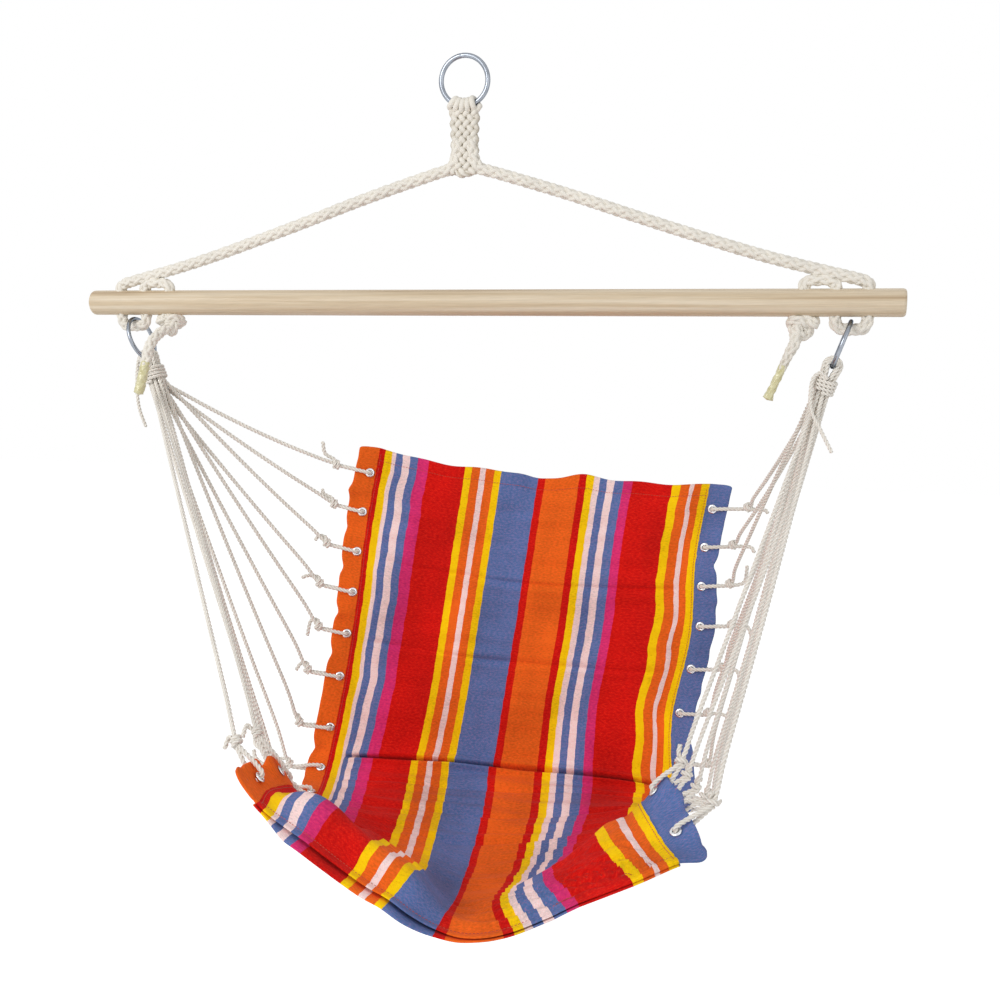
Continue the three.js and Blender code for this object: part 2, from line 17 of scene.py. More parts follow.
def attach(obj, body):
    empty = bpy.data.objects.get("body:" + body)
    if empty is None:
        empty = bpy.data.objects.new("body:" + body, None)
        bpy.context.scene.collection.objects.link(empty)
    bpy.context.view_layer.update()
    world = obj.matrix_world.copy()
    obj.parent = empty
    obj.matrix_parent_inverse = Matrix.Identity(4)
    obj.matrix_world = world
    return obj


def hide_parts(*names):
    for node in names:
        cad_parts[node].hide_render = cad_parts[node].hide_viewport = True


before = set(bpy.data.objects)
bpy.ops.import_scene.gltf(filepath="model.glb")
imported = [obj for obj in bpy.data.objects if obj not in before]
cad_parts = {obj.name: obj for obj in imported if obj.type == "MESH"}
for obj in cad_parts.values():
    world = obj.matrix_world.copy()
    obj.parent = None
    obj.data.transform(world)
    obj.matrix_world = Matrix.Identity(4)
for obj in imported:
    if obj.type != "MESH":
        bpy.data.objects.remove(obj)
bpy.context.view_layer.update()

MM = 0.001

# %% [markdown]
# ## Camera
# The photograph was taken from the sitter's left-hand side at the height of the bar, looking
# a little down. The lens and the place are those at which the bar's two ends, its thickness
# on both sides and the ring fall where the photograph shows them.

# %% Camera
camera = bpy.data.objects.new("camera", bpy.data.cameras.new("camera"))
bpy.context.scene.collection.objects.link(camera)
bpy.context.scene.camera = camera
camera_azimuth, camera_pitch = math.radians(15), math.radians(9)
camera.location = (0.4279, -1.4383, -0.279)
camera.rotation_euler = (math.pi / 2 - camera_pitch, 0, camera_azimuth)
camera.data.sensor_width = 36
camera.data.lens = 1.2458 * camera.data.sensor_width
print("lens", round(camera.data.lens, 2), "mm")

# %% [markdown]
# ## Stage and light
# The chair hangs about 40 cm over a pale floor. The world is white to the camera and in
# reflections, and lights the chair more softly. Two large soft lamps give the cloth and the
# cords a light side and a shade side without raising the colours above their own values.


# %% Helpers for nodes and colours
def add_node(owner, kind, links=None, **settings):
    """A node with its settings; links gives each named input a value or another's output."""
    node = owner.node_tree.nodes.new(kind)
    for setting, value in settings.items():
        setattr(node, setting, value)
    for socket, value in (links or {}).items():
        if isinstance(value, bpy.types.NodeSocket):
            owner.node_tree.links.new(value, node.inputs[socket])
        else:
            node.inputs[socket].default_value = value
    return node


def linear(hex_colour):
    """An sRGB hex colour as linear red, green, blue and alpha."""
    shares = [int(hex_colour[i : i + 2], 16) / 255 for i in (1, 3, 5)]
    lit = [c / 12.92 if c <= 0.04045 else ((c + 0.055) / 1.055) ** 2.4 for c in shares]
    return (*lit, 1)


# %% World and lamps
scene = bpy.context.scene
scene.view_settings.view_transform = "Standard"
world = bpy.data.worlds.new("studio")
scene.world = world
world.use_nodes = True
world.node_tree.nodes.clear()


def rays_and_seen(owner):
    """A Light Path node, and 1 for its rays from the camera or off a glossy surface."""
    rays = add_node(owner, "ShaderNodeLightPath")
    either = {0: rays.outputs["Is Camera Ray"], 1: rays.outputs["Is Glossy Ray"]}
    seen = add_node(owner, "ShaderNodeMath", either, operation="MAXIMUM")
    return rays, seen.outputs[0]


rays, seen = rays_and_seen(world)
seen_through = add_node(
    world, "ShaderNodeMath", {0: seen, 1: rays.outputs["Is Transmission Ray"]}, operation="MAXIMUM"
)
soft_light = add_node(world, "ShaderNodeBackground", {"Color": (1, 1, 1, 1), "Strength": 0.58})
white = add_node(world, "ShaderNodeBackground", {"Color": (1, 1, 1, 1), "Strength": 1.0})
sky = add_node(
    world,
    "ShaderNodeMixShader",
    {0: seen_through.outputs[0], 1: soft_light.outputs[0], 2: white.outputs[0]},
)
add_node(world, "ShaderNodeOutputWorld", {"Surface": sky.outputs[0]})


def lamp(name, place, aim, size, energy):
    """A square lamp that looks from a place to what it is aimed at, in metres and watts."""
    light = bpy.data.lights.new(name, "AREA")
    light.shape, light.size, light.energy = "SQUARE", size, energy
    holder = bpy.data.objects.new(name, light)
    holder.location = place
    toward = Vector(aim) - Vector(place)
    holder.rotation_euler = toward.to_track_quat("-Z", "Y").to_euler()
    scene.collection.objects.link(holder)


seat_place = (0, -0.05, -0.7)
lamp("key_lamp", (-1.3, -2.3, 0.9), seat_place, 1.4, 37)
lamp("fill_lamp", (2.2, -1.6, 0.0), seat_place, 1.8, 9)

# %% Floor
# The floor glows to the camera and in reflections, so that it fades into the white world.
floor_height, floor_half_side = -1.36, 6
floor_mesh = bmesh.new()
bmesh.ops.create_grid(floor_mesh, x_segments=1, y_segments=1, size=floor_half_side)
bmesh.ops.translate(floor_mesh, verts=floor_mesh.verts, vec=(0, 0, floor_height))
floor = bpy.data.objects.new("floor", bpy.data.meshes.new("floor"))
floor_mesh.to_mesh(floor.data)
scene.collection.objects.link(floor)
floor_paint = bpy.data.materials.new("white_floor_paint")
floor_paint.use_nodes = True
floor_paint.node_tree.nodes.clear()
floor_seen = rays_and_seen(floor_paint)[1]
floor_glow = add_node(floor_paint, "ShaderNodeMath", {0: floor_seen, 1: 0.5}, operation="MULTIPLY")
floor_matt = add_node(floor_paint, "ShaderNodeBsdfDiffuse", {"Color": linear("#f8f8f8")})
floor_white = add_node(floor_paint, "ShaderNodeEmission", {"Strength": floor_glow.outputs[0]})
floor_sum = add_node(
    floor_paint, "ShaderNodeAddShader", {0: floor_matt.outputs[0], 1: floor_white.outputs[0]}
)
add_node(floor_paint, "ShaderNodeOutputMaterial", {"Surface": floor_sum.outputs[0]})
floor.data.materials.append(floor_paint)
print("floor at", floor_height, "m")

# %% [markdown]
# ## Finishes
# Each finish is named for the real material. Patterns are sized in millimetres from the real
# thread, grain or grit, and one that is too fine to show is drawn as coarse as it has to be.


# %% Helpers for materials
def new_material(name, roughness, **sockets):
    """A Principled material; sockets are named in lower case, as in coat_weight."""
    material = bpy.data.materials.new(name)
    material.use_nodes = True
    shader = material.node_tree.nodes["Principled BSDF"]
    shader.inputs["Roughness"].default_value = roughness
    for socket, value in sockets.items():
        shader.inputs[socket.replace("_", " ").title()].default_value = value
    return material, shader


def shade(material, shader, colour=None, roughness=None, height=None, depth=0.1 * MM):
    """Links a colour, a roughness and a bump of the given depth to a shader."""
    link = material.node_tree.links.new
    if colour is not None:
        link(colour, shader.inputs["Base Color"])
    if roughness is not None:
        link(roughness, shader.inputs["Roughness"])
    if height is not None:
        relief = {"Height": height, "Distance": depth, "Strength": 1.0}
        bump = add_node(material, "ShaderNodeBump", relief)
        link(bump.outputs[0], shader.inputs["Normal"])


def clouded(material, shader, scale, detail, dark, light):
    """Colours a material between two tones by noise, scale patches to a metre; gives the noise."""
    place = add_node(material, "ShaderNodeTexCoord")
    spread = {"Vector": place.outputs["Object"], "Scale": scale, "Detail": detail}
    cloud = add_node(material, "ShaderNodeTexNoise", spread)
    tones = {"Factor": cloud.outputs["Fac"], "A": linear(dark), "B": linear(light)}
    colour = add_node(material, "ShaderNodeMix", tones, data_type="RGBA")
    shade(material, shader, colour=colour.outputs["Result"])
    return cloud.outputs["Fac"]


# %% [markdown]
# ### Woven stripes
# The cloth is plain-woven cotton. Its stripes are coloured warp threads that run down the
# cloth's length, crossed everywhere by an orange-red weft, which is why the blue looks
# flecked with red and the pale pink is white warp seen through red. So the colour is a ramp
# of hard steps across the cloth, with a little of the weft mixed in thread by thread. Real
# threads are about 0.6 mm apart; they are drawn 1.5 mm apart, or they would not show.

# %% Stripes across the cloth, in millimetres from the sitter's right-hand edge
ORANGE, RED, YELLOW, PINK = "#ee661a", "#d10c08", "#ffd100", "#fadedc"
BLUE, MAGENTA, WEFT = "#5874ab", "#d82f72", "#e0502a"
side_group = [(RED, 9), (YELLOW, 10), (PINK, 9), (BLUE, 10), (PINK, 10), (BLUE, 11), (MAGENTA, 13)]
ladder = [(YELLOW, 10), (ORANGE, 11), (PINK, 9.5), (ORANGE, 11), (YELLOW, 10)]
stripes = [
    (ORANGE, 26.5),
    *side_group,
    (RED, 50),
    *ladder,
    (BLUE, 52),
    (RED, 9),
    (ORANGE, 49),
    *side_group,
    (RED, 48),
    *ladder,
    (BLUE, 28.5),
]
stripe_total = sum(width for _, width in stripes)
cloth_width, cloth_length = 510, 960
thread_pitch, slub_across, slub_along = 1.5, 4, 2
# The stripes' edges waver by up to this share of the cloth's width, about a millimetre.
stripe_waver = 0.004

cotton, cotton_shader = new_material(
    "woven_striped_cotton", 0.92, sheen_weight=0.03, sheen_roughness=0.5
)
cotton_shader.inputs["Specular IOR Level"].default_value = 0.15
cloth_uv = add_node(cotton, "ShaderNodeUVMap", uv_map="cloth").outputs[0]
waver = add_node(cotton, "ShaderNodeTexNoise", {"Vector": cloth_uv, "Scale": 90.0, "Detail": 1.0})
waver_both_ways = add_node(
    cotton,
    "ShaderNodeVectorMath",
    {0: waver.outputs["Color"], 1: (0.5, 0.5, 0.5)},
    operation="SUBTRACT",
)
wavered = add_node(
    cotton,
    "ShaderNodeVectorMath",
    {0: waver_both_ways.outputs[0], 1: (stripe_waver, 0.0, 0.0), 2: cloth_uv},
    operation="MULTIPLY_ADD",
)
across_split = add_node(cotton, "ShaderNodeSeparateXYZ", {0: wavered.outputs[0]})
ramp = add_node(cotton, "ShaderNodeValToRGB", {"Fac": across_split.outputs["X"]})
ramp.color_ramp.interpolation = "CONSTANT"
stops = ramp.color_ramp.elements
reached = 0.0
for index, (colour, width) in enumerate(stripes):
    stop = stops[0] if index == 0 else stops.new(reached / stripe_total)
    stop.position = reached / stripe_total
    stop.color = linear(colour)
    reached += width
last_stop = stops[len(stripes)]
last_stop.position, last_stop.color = 1.0, linear(BLUE)
print("stripes", len(stripes), "over", stripe_total, "mm")

# %% Threads
# Slubs are thick places in the yarn. Where they are thickest, the weft shows most.
thread_turns = (cloth_width / thread_pitch, cloth_length / thread_pitch, 1)
slub_turns = (cloth_width / slub_across, cloth_length / slub_along, 1)
thread_place, slub_place = (
    add_node(cotton, "ShaderNodeVectorMath", {0: cloth_uv, 1: turns}, operation="MULTIPLY").outputs[0]
    for turns in (thread_turns, slub_turns)
)
weave_checks = {"Vector": thread_place, "Scale": 1.0}
weave = add_node(cotton, "ShaderNodeTexChecker", weave_checks).outputs["Fac"]
slub_spots = {"Vector": slub_place, "Scale": 1.0, "Detail": 4.0}
slub = add_node(cotton, "ShaderNodeTexNoise", slub_spots).outputs["Fac"]
weft_shows = add_node(
    cotton,
    "ShaderNodeMapRange",
    {"Value": slub, "From Min": 0.42, "From Max": 0.76, "To Min": 0.0, "To Max": 0.3},
)
weft_mask = add_node(
    cotton, "ShaderNodeMath", {0: weave, 1: weft_shows.outputs[0]}, operation="MULTIPLY"
)
crossed = add_node(
    cotton,
    "ShaderNodeMix",
    {"Factor": weft_mask.outputs[0], "A": ramp.outputs["Color"], "B": linear(WEFT)},
    data_type="RGBA",
)
print("threads across", round(thread_turns[0]), "and along", round(thread_turns[1]))

# %% The cloth's surface
# Washed cloth is paler in wide patches and in short streaks, and its threads stand out a little.
patch = add_node(cotton, "ShaderNodeTexNoise", {"Vector": cloth_uv, "Scale": 7.0, "Detail": 3.0})
streaked = add_node(cotton, "ShaderNodeMath", {0: patch.outputs["Fac"], 1: slub}, operation="ADD")
worn = add_node(
    cotton,
    "ShaderNodeMapRange",
    {"Value": streaked.outputs[0], "From Min": 0.7, "From Max": 1.3, "To Min": 0.74, "To Max": 1.36},
)
tinted = add_node(
    cotton,
    "ShaderNodeHueSaturation",
    {"Color": crossed.outputs["Result"], "Value": worn.outputs[0], "Saturation": 1.0},
)
thread_relief = add_node(cotton, "ShaderNodeMath", {0: weave, 1: slub}, operation="MULTIPLY")
shade(cotton, cotton_shader, tinted.outputs[0], height=thread_relief.outputs[0], depth=0.35 * MM)
print("cotton nodes", len(cotton.node_tree.nodes))

# %% [markdown]
# ### Cotton rope and cord
# Rope and cord are unbleached cotton yarn, matt and slightly fuzzy, with painted shade in
# the grooves between strands. Every rope in this lesson carries an attribute named crown, 0 in
# a groove and 1 on top of a strand, and the colour follows it, so the grooves are painted darker as shade.
# Fine noise stands for the yarn.


# %% Yarn
def yarn_material(name, painted_groove_shade, crown_colour, fibre_pitch):
    """Cotton yarn with painted shade in the grooves, and fibres at a pitch in millimetres."""
    material, shader = new_material(name, 0.95, sheen_weight=0.06, sheen_roughness=0.6)
    shader.inputs["Specular IOR Level"].default_value = 0.2
    crown = add_node(material, "ShaderNodeAttribute", attribute_name="crown")
    place = add_node(material, "ShaderNodeTexCoord").outputs["Object"]
    fibres = {"Vector": place, "Scale": 1 / (fibre_pitch * MM), "Detail": 3.0}
    fibre = add_node(material, "ShaderNodeTexNoise", fibres).outputs["Fac"]
    dust = add_node(material, "ShaderNodeTexNoise", {"Vector": place, "Scale": 28.0, "Detail": 2.0})
    # The crown attribute mixes the colour from painted groove shade to the crown colour: painted shade in
    # the grooves.
    raised = add_node(
        material,
        "ShaderNodeMath",
        {0: fibre, 1: 0.35, 2: crown.outputs["Fac"]},
        operation="MULTIPLY_ADD",
    )
    raised_range = {"Value": raised.outputs[0], "From Min": 0.1, "From Max": 1.1}
    lit = add_node(material, "ShaderNodeMapRange", raised_range)
    colour = add_node(
        material,
        "ShaderNodeMix",
        {"Factor": lit.outputs[0], "A": linear(painted_groove_shade), "B": linear(crown_colour)},
        data_type="RGBA",
    )
    value = add_node(
        material,
        "ShaderNodeMapRange",
        {"Value": dust.outputs["Fac"], "From Min": 0.3, "From Max": 0.7, "To Min": 0.95, "To Max": 1.03},
    )
    dusted = {"Color": colour.outputs["Result"], "Value": value.outputs[0]}
    aged = add_node(material, "ShaderNodeHueSaturation", dusted)
    shade(material, shader, colour=aged.outputs[0], height=fibre, depth=0.25 * MM)
    return material


# The first colour is painted shade for the grooves, the second the yarn on top of a strand.
cotton_rope = yarn_material("unbleached_cotton_rope", "#c4bbaa", "#ebe6dc", 0.8)
cotton_cord = yarn_material("twisted_cotton_cord", "#d9d1c6", "#f6f2ea", 0.6)
print("yarns", cotton_rope.name, cotton_cord.name)

# %% [markdown]
# ### Zinc, nickel and wood
# The rings are bent from steel wire, welded, and zinc-plated: a bright bluish metal with
# fine drawing marks round the wire. The eyelets are pressed brass with nickel on it, more
# mirror-like. The bar is bare pale hardwood, turned and sanded, with straight grain.

# %% Zinc and nickel
zinc, zinc_shader = new_material("zinc_plated_steel_wire", 0.24, metallic=1.0)
# Zinc darkens where it is seen edge on.
zinc_shader.inputs["Specular Tint"].default_value = linear("#8790a0")
zinc_cloud = clouded(zinc, zinc_shader, 70.0, 3.0, "#737982", "#b3b9c2")
zinc_rough = add_node(
    zinc,
    "ShaderNodeMapRange",
    {"Value": zinc_cloud, "From Min": 0.3, "From Max": 0.7, "To Min": 0.18, "To Max": 0.34},
)
shade(zinc, zinc_shader, roughness=zinc_rough.outputs[0], height=zinc_cloud, depth=0.015 * MM)

nickel, nickel_shader = new_material("nickel_plated_pressed_brass", 0.2, metallic=1.0)
nickel_scuff = clouded(nickel, nickel_shader, 600.0, 2.0, "#c6c8cc", "#f4f5f8")
nickel_rough = add_node(
    nickel,
    "ShaderNodeMapRange",
    {"Value": nickel_scuff, "From Min": 0.3, "From Max": 0.7, "To Min": 0.14, "To Max": 0.3},
)
shade(nickel, nickel_shader, roughness=nickel_rough.outputs[0])
print("metals", zinc.name, nickel.name)

# %% Wood
# Growth rings are a few millimetres apart and run along the bar, so the noise is stretched 65
# times along X and leans a little. Finer pores, 0.6 mm apart, are drawn over them.
wood, wood_shader = new_material("sanded_pale_hardwood", 0.5, coat_weight=0.06)
wood_place = add_node(wood, "ShaderNodeTexCoord").outputs["Object"]
grain_turn = {"Scale": (2.6, 170.0, 170.0), "Rotation": (0.0, 0.012, 0.01)}
grain_place = add_node(wood, "ShaderNodeMapping", {"Vector": wood_place, **grain_turn})
grain = add_node(
    wood,
    "ShaderNodeTexNoise",
    {"Vector": grain_place.outputs[0], "Scale": 1.0, "Detail": 4.0, "Distortion": 0.4},
)
pore_stretch = {"Vector": wood_place, "Scale": (40.0, 1600.0, 1600.0)}
pore_place = add_node(wood, "ShaderNodeMapping", pore_stretch)
pore_spots = {"Vector": pore_place.outputs[0], "Scale": 1.0, "Detail": 2.0}
pores = add_node(wood, "ShaderNodeTexNoise", pore_spots).outputs["Fac"]
wood_ramp = add_node(wood, "ShaderNodeValToRGB", {"Fac": grain.outputs["Fac"]})
wood_stops = wood_ramp.color_ramp.elements
wood_tones = [(0.3, "#b0987a"), (0.45, "#cab698"), (0.68, "#dbccb4")]
for stop, (position, colour) in zip([wood_stops[0], wood_stops.new(0.5), wood_stops[-1]], wood_tones):
    stop.position, stop.color = position, linear(colour)
pore_shade = add_node(
    wood,
    "ShaderNodeMapRange",
    {"Value": pores, "From Min": 0.3, "From Max": 0.6, "To Min": 0.9, "To Max": 1.03},
)
pored = {"Color": wood_ramp.outputs[0], "Value": pore_shade.outputs[0]}
wood_colour = add_node(wood, "ShaderNodeHueSaturation", pored)
shade(wood, wood_shader, colour=wood_colour.outputs[0], height=pores, depth=0.08 * MM)
print("wood nodes", len(wood.node_tree.nodes))

# %% Tape and thread
# The rope's ends are wrapped in clear packing tape that has gone yellow over the rope.
tape, tape_shader = new_material("clear_tape_over_rope", 0.3, coat_weight=0.5, coat_roughness=0.15)
tape_cloud = clouded(tape, tape_shader, 160.0, 3.0, "#b3a964", "#e4e0bf")
shade(tape, tape_shader, height=tape_cloud, depth=0.5 * MM)

thread, thread_shader = new_material("red_sewing_thread", 0.7, sheen_weight=0.2)
clouded(thread, thread_shader, 500.0, 1.0, "#a8301c", "#d0583a")
print("finishes", [m.name for m in bpy.data.materials])

# %% [markdown]
# ## Ropes and cords
# A rope is swept along the line that it follows. A ring of points goes round the line at
# every millimetre or two, and the ring's radius makes the section: three round strands for a
# twisted cord, one round strand for a plait. Turning the ring a little at each step twists
# the cord. The frame of each ring is carried along without spin of its own.


# %% Lines
def unit(vectors):
    return vectors / np.linalg.norm(vectors, axis=-1, keepdims=True)


def with_ends(line):
    """A line with one more point at each end, straight on, for a curve's first and last bend."""
    return np.vstack([2 * line[0] - line[1], line, 2 * line[-1] - line[-2]])


def curve(p0, p1, p2, p3, t):
    """Shares t of the way from p1 to p2 on a Catmull-Rom curve."""
    bend = 2 * p0 - 5 * p1 + 4 * p2 - p3
    return 0.5 * (2 * p1 + (p2 - p0) * t + bend * t**2 + (3 * p1 - p0 - 3 * p2 + p3) * t**3)


def arc_lengths(line):
    return np.concatenate([[0], np.cumsum(np.linalg.norm(np.diff(line, axis=0), axis=1))])


def picked(wanted, reached, line):
    """The line's points at wanted lengths along it."""
    return np.stack([np.interp(wanted, reached, line[:, k]) for k in range(3)], axis=1)


def evenly(line, spacing):
    """The same line with points an even distance apart."""
    reached = arc_lengths(line)
    count = max(int(round(reached[-1] / spacing)), 3)
    return picked(np.linspace(0, reached[-1], count + 1), reached, line)


def smooth_line(points, spacing):
    """A line through given points in millimetres, rounded, with even spacing."""
    line = np.array(points, float)
    rows, pieces = with_ends(line), []
    for i in range(len(line) - 1):
        count = max(int(np.linalg.norm(line[i + 1] - line[i]) / spacing * 2), 4)
        pieces.append(curve(*rows[i : i + 4], np.linspace(0, 1, count, endpoint=False)[:, None]))
    return evenly(np.vstack([*pieces, line[-1:]]), spacing)


def frames_along(line):
    """Tangent, side and up at every point, carried along without spin."""
    tangent = unit(np.gradient(line, axis=0))
    aslant = (0.3, 0.9, 0.31)
    first = np.cross(tangent[0], aslant)
    side = np.zeros_like(line)
    side[0] = unit(first)
    for i in range(1, len(line)):
        side[i] = unit(side[i - 1] - tangent[i] * np.dot(side[i - 1], tangent[i]))
    return tangent, side, np.cross(tangent, side)


# %% Sweeping
def three_strands(sides_each=5):
    """Angles and radii round three touching strands, in shares of the cord's radius."""
    strand_share = 1 / (1 + 2 / math.sqrt(3))
    offset = strand_share * 2 / math.sqrt(3)
    turns = np.radians(np.arange(3 * sides_each) * 120 / sides_each - 60)
    local = (turns + math.pi / 3) % (2 * math.pi / 3) - math.pi / 3
    reach = np.maximum(strand_share**2 - (offset * np.sin(local)) ** 2, 0)
    radii = offset * np.cos(local) + np.sqrt(reach)
    return turns, np.maximum(radii, 0.64)


def round_section(sides):
    """Angles and radii round one strand."""
    turns = np.arange(sides) * 2 * math.pi / sides
    return turns, np.ones(sides)


def swept(line, radius, section, lay=None, widths=None):
    """Points, faces and crown values of a tube; lay is the length of a full twist."""
    turns, shares = section
    tangent, side, up = frames_along(line)
    reached = arc_lengths(line)
    twist = np.zeros(len(line)) if lay is None else 2 * math.pi * reached / lay
    angles = turns[None, :] + twist[:, None]
    radii = radius * shares[None, :] * (np.ones(len(line)) if widths is None else widths)[:, None]
    points = (
        line[:, None, :]
        + (radii * np.cos(angles))[:, :, None] * side[:, None, :]
        + (radii * np.sin(angles))[:, :, None] * up[:, None, :]
    )
    sides, rings = len(turns), len(line)
    low, high = shares.min(), shares.max()
    # Crown values: 0 in the grooves between strands, where the yarn's colour is painted darker as shade.
    crown = np.ones(sides) if high - low < 1e-6 else (shares - low) / (high - low)
    bulge, cap_crown = radius * 0.4, 0.3
    caps = np.vstack([line[0] - tangent[0] * bulge, line[-1] + tangent[-1] * bulge])
    start, end, last = rings * sides, rings * sides + 1, (rings - 1) * sides
    faces = []
    for j, following in enumerate([*range(1, sides), 0]):
        for ring in range(0, last, sides):
            faces.append((ring + j, ring + following, ring + sides + following, ring + sides + j))
        faces += [(start, following, j), (end, last + j, last + following)]
    values = np.concatenate([np.tile(crown, rings), [cap_crown, cap_crown]])
    return np.vstack([points.reshape(-1, 3), caps]), faces, values


def placed(mesh, material, body, replaced):
    """A smooth-shaded object for a mesh, with its name, that rides on a body and hides the parts it
    replaces.
    """
    mesh.shade_smooth()
    mesh.materials.append(material)
    piece = bpy.data.objects.new(mesh.name, mesh)
    scene.collection.objects.link(piece)
    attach(piece, body)
    if replaced:
        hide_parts(*replaced)
    return piece


def rope_piece(name, tubes, material, body, replaced=()):
    """One object from several swept tubes, given in millimetres."""
    points, faces, values, offset = [], [], [], 0
    for tube_points, tube_faces, tube_values in tubes:
        points.append(tube_points)
        faces += [tuple(i + offset for i in face) for face in tube_faces]
        values.append(tube_values)
        offset += len(tube_points)
    mesh = bpy.data.meshes.new(name)
    mesh.from_pydata((np.vstack(points) * MM).tolist(), [], faces)
    crown = mesh.attributes.new("crown", "FLOAT", "POINT")
    crown.data.foreach_set("value", np.concatenate(values).astype(np.float32))
    return placed(mesh, material, body, replaced)


print("section shares", np.round(three_strands()[1], 2))

# %% [markdown]
# ## The hanging ring and the small rings
# Each ring is a bent wire with its ends butt-welded. A circle spun round a centre makes the
# ring, and the weld is a short stretch where the wire swells and the seam leaves a nick.

# %% Sizes of the frame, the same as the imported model's
ring_outer, ring_wire = 62, 5.8
ring_centre_drop, ring_mid = ring_outer / 2 - ring_wire, ring_outer / 2 - ring_wire / 2
bar_length, bar_diameter, bar_drop, bar_round = 1000, 31, 279, 4
hole_radius, hole_end, hole_pitch = 6.05, 40, 34.5
hole_x = [bar_length / 2 - hole_end - i * hole_pitch for i in range(3)]
rope_diameter, loop_drop, bump_rise = 11.5, 29, 25
small_outer, small_wire, lean = 58, 5, math.radians(20)
small_mid = small_outer / 2 - small_wire / 2
sides = {"left": -1, "right": 1}


def finished(name, shape, material, body, replaced):
    """The piece that a bmesh in metres becomes."""
    mesh = bpy.data.meshes.new(name)
    shape.to_mesh(mesh)
    shape.free()
    return placed(mesh, material, body, replaced)


def spin_round(shape, axis, steps):
    """Spins all that a bmesh holds once round an axis through the origin."""
    bmesh.ops.spin(
        shape,
        geom=shape.verts[:] + shape.edges[:],
        cent=(0, 0, 0),
        axis=axis,
        angle=2 * math.pi,
        steps=steps,
        use_merge=True,
    )


# %% Rings
def wire_ring(mid_radius, wire, turn_to_weld, place):
    """A ring of wire with a weld bead and its nick, along +Z before place is applied."""
    ring = bmesh.new()
    section = bmesh.ops.create_circle(ring, segments=16, radius=wire / 2 * MM)["verts"]
    bmesh.ops.rotate(ring, verts=section, matrix=Matrix.Rotation(math.pi / 2, 3, "X"))
    bmesh.ops.translate(ring, verts=section, vec=(mid_radius * MM, 0, 0))
    spin_round(ring, (0, 0, 1), 112)
    for point in ring.verts:
        turn = math.atan2(point.co.y, point.co.x)
        away = (turn - turn_to_weld + math.pi) % (2 * math.pi) - math.pi
        along = away * mid_radius
        bead = 0.07 * math.exp(-((along / 2.2) ** 2))
        nick = 0.16 * math.exp(-((along / 0.7) ** 2))
        middle = Vector((math.cos(turn), math.sin(turn), 0)) * mid_radius * MM
        point.co = middle + (point.co - middle) * (1 + bead - nick)
    bmesh.ops.recalc_face_normals(ring, faces=ring.faces)
    bmesh.ops.transform(ring, matrix=place, verts=ring.verts)
    return ring


upright = Matrix.Rotation(math.pi / 2, 4, "X")
ring_place = Matrix.Translation((0, 0, -ring_centre_drop * MM)) @ upright
hanging_ring = wire_ring(ring_mid, ring_wire, math.radians(97), ring_place)
finished("welded_hanging_ring", hanging_ring, zinc, "ring", ["hanging_ring"])


def harness_frame(sign):
    """Down, inboard and the middle of one side's small ring, in millimetres."""
    down = np.array([-sign * math.sin(lean), 0, -math.cos(lean)])
    inboard = np.array([-sign * math.cos(lean), 0, math.sin(lean)])
    top = np.array([sign * (hole_x[0] + hole_x[1]) / 2, 0, -bar_drop - loop_drop])
    top[2] += rope_diameter / 2 + 0.3 + small_wire / 2
    return down, inboard, top + down * small_mid


def facing(place, axis):
    """A matrix in metres that turns +Z to an axis and moves the origin to a place in mm."""
    turn = Vector((0, 0, 1)).rotation_difference(Vector(axis)).to_matrix().to_4x4()
    return Matrix.Translation(Vector(place) * MM) @ turn


for side, sign in sides.items():
    _, inboard, centre = harness_frame(sign)
    small_ring = wire_ring(small_mid, small_wire, math.radians(40), facing(centre, inboard))
    finished(f"welded_small_ring_{side}", small_ring, zinc, "seat", [f"small_ring_{side}"])
print("rings at", round(ring_mid, 1), "and", round(small_mid, 1), "mm")

# %% [markdown]
# ## The spreader bar
# A turned dowel with eased ends and three holes through it near each end. Half of its side
# outline is spun round the bar's axis, and the holes are cut with the Boolean modifier, which
# keeps the rest of the surface as it is.

# %% Bar
bar_shape = bmesh.new()
half, radius = bar_length / 2, bar_diameter / 2
ends = [
    (half - bar_round * (1 - math.sin(a)), radius - bar_round * (1 - math.cos(a)))
    for a in np.radians([90, 68, 45, 22, 0])
]
stations = [(half, 0), (half, radius * 0.55), *ends]
lengthwise = [(x, radius) for x in np.linspace(half - bar_round, -half + bar_round, 40)[1:-1]]
profile = [*stations, *lengthwise, *[(-x, r) for x, r in reversed(stations)]]
ring_of_points = [bar_shape.verts.new((x * MM, 0, r * MM)) for x, r in profile]
for one, other in zip(ring_of_points, ring_of_points[1:]):
    bar_shape.edges.new((one, other))
spin_round(bar_shape, (1, 0, 0), 64)
bmesh.ops.remove_doubles(bar_shape, verts=bar_shape.verts, dist=0.001 * MM)
bmesh.ops.recalc_face_normals(bar_shape, faces=bar_shape.faces)
bmesh.ops.translate(bar_shape, verts=bar_shape.verts, vec=(0, 0, -bar_drop * MM))


def cut_away(piece, cutters):
    """Cuts a bmesh of closed cutters out of a piece, whose mesh becomes the result."""
    cutter_mesh = bpy.data.meshes.new("cutter")
    cutters.to_mesh(cutter_mesh)
    cutters.free()
    cutter = bpy.data.objects.new("cutter", cutter_mesh)
    scene.collection.objects.link(cutter)
    modifier = piece.modifiers.new("holes", "BOOLEAN")
    modifier.operation, modifier.solver, modifier.object = "DIFFERENCE", "EXACT", cutter
    evaluated = piece.evaluated_get(bpy.context.evaluated_depsgraph_get())
    piece.data = bpy.data.meshes.new_from_object(evaluated)
    piece.modifiers.clear()
    bpy.data.objects.remove(cutter)


def add_drill(drills, radius, depth, segments, place):
    """Adds a closed cylinder to a bmesh of cutters, sized in millimetres."""
    bmesh.ops.create_cone(
        drills,
        cap_ends=True,
        segments=segments,
        radius1=radius * MM,
        radius2=radius * MM,
        depth=depth * MM,
        matrix=place,
    )


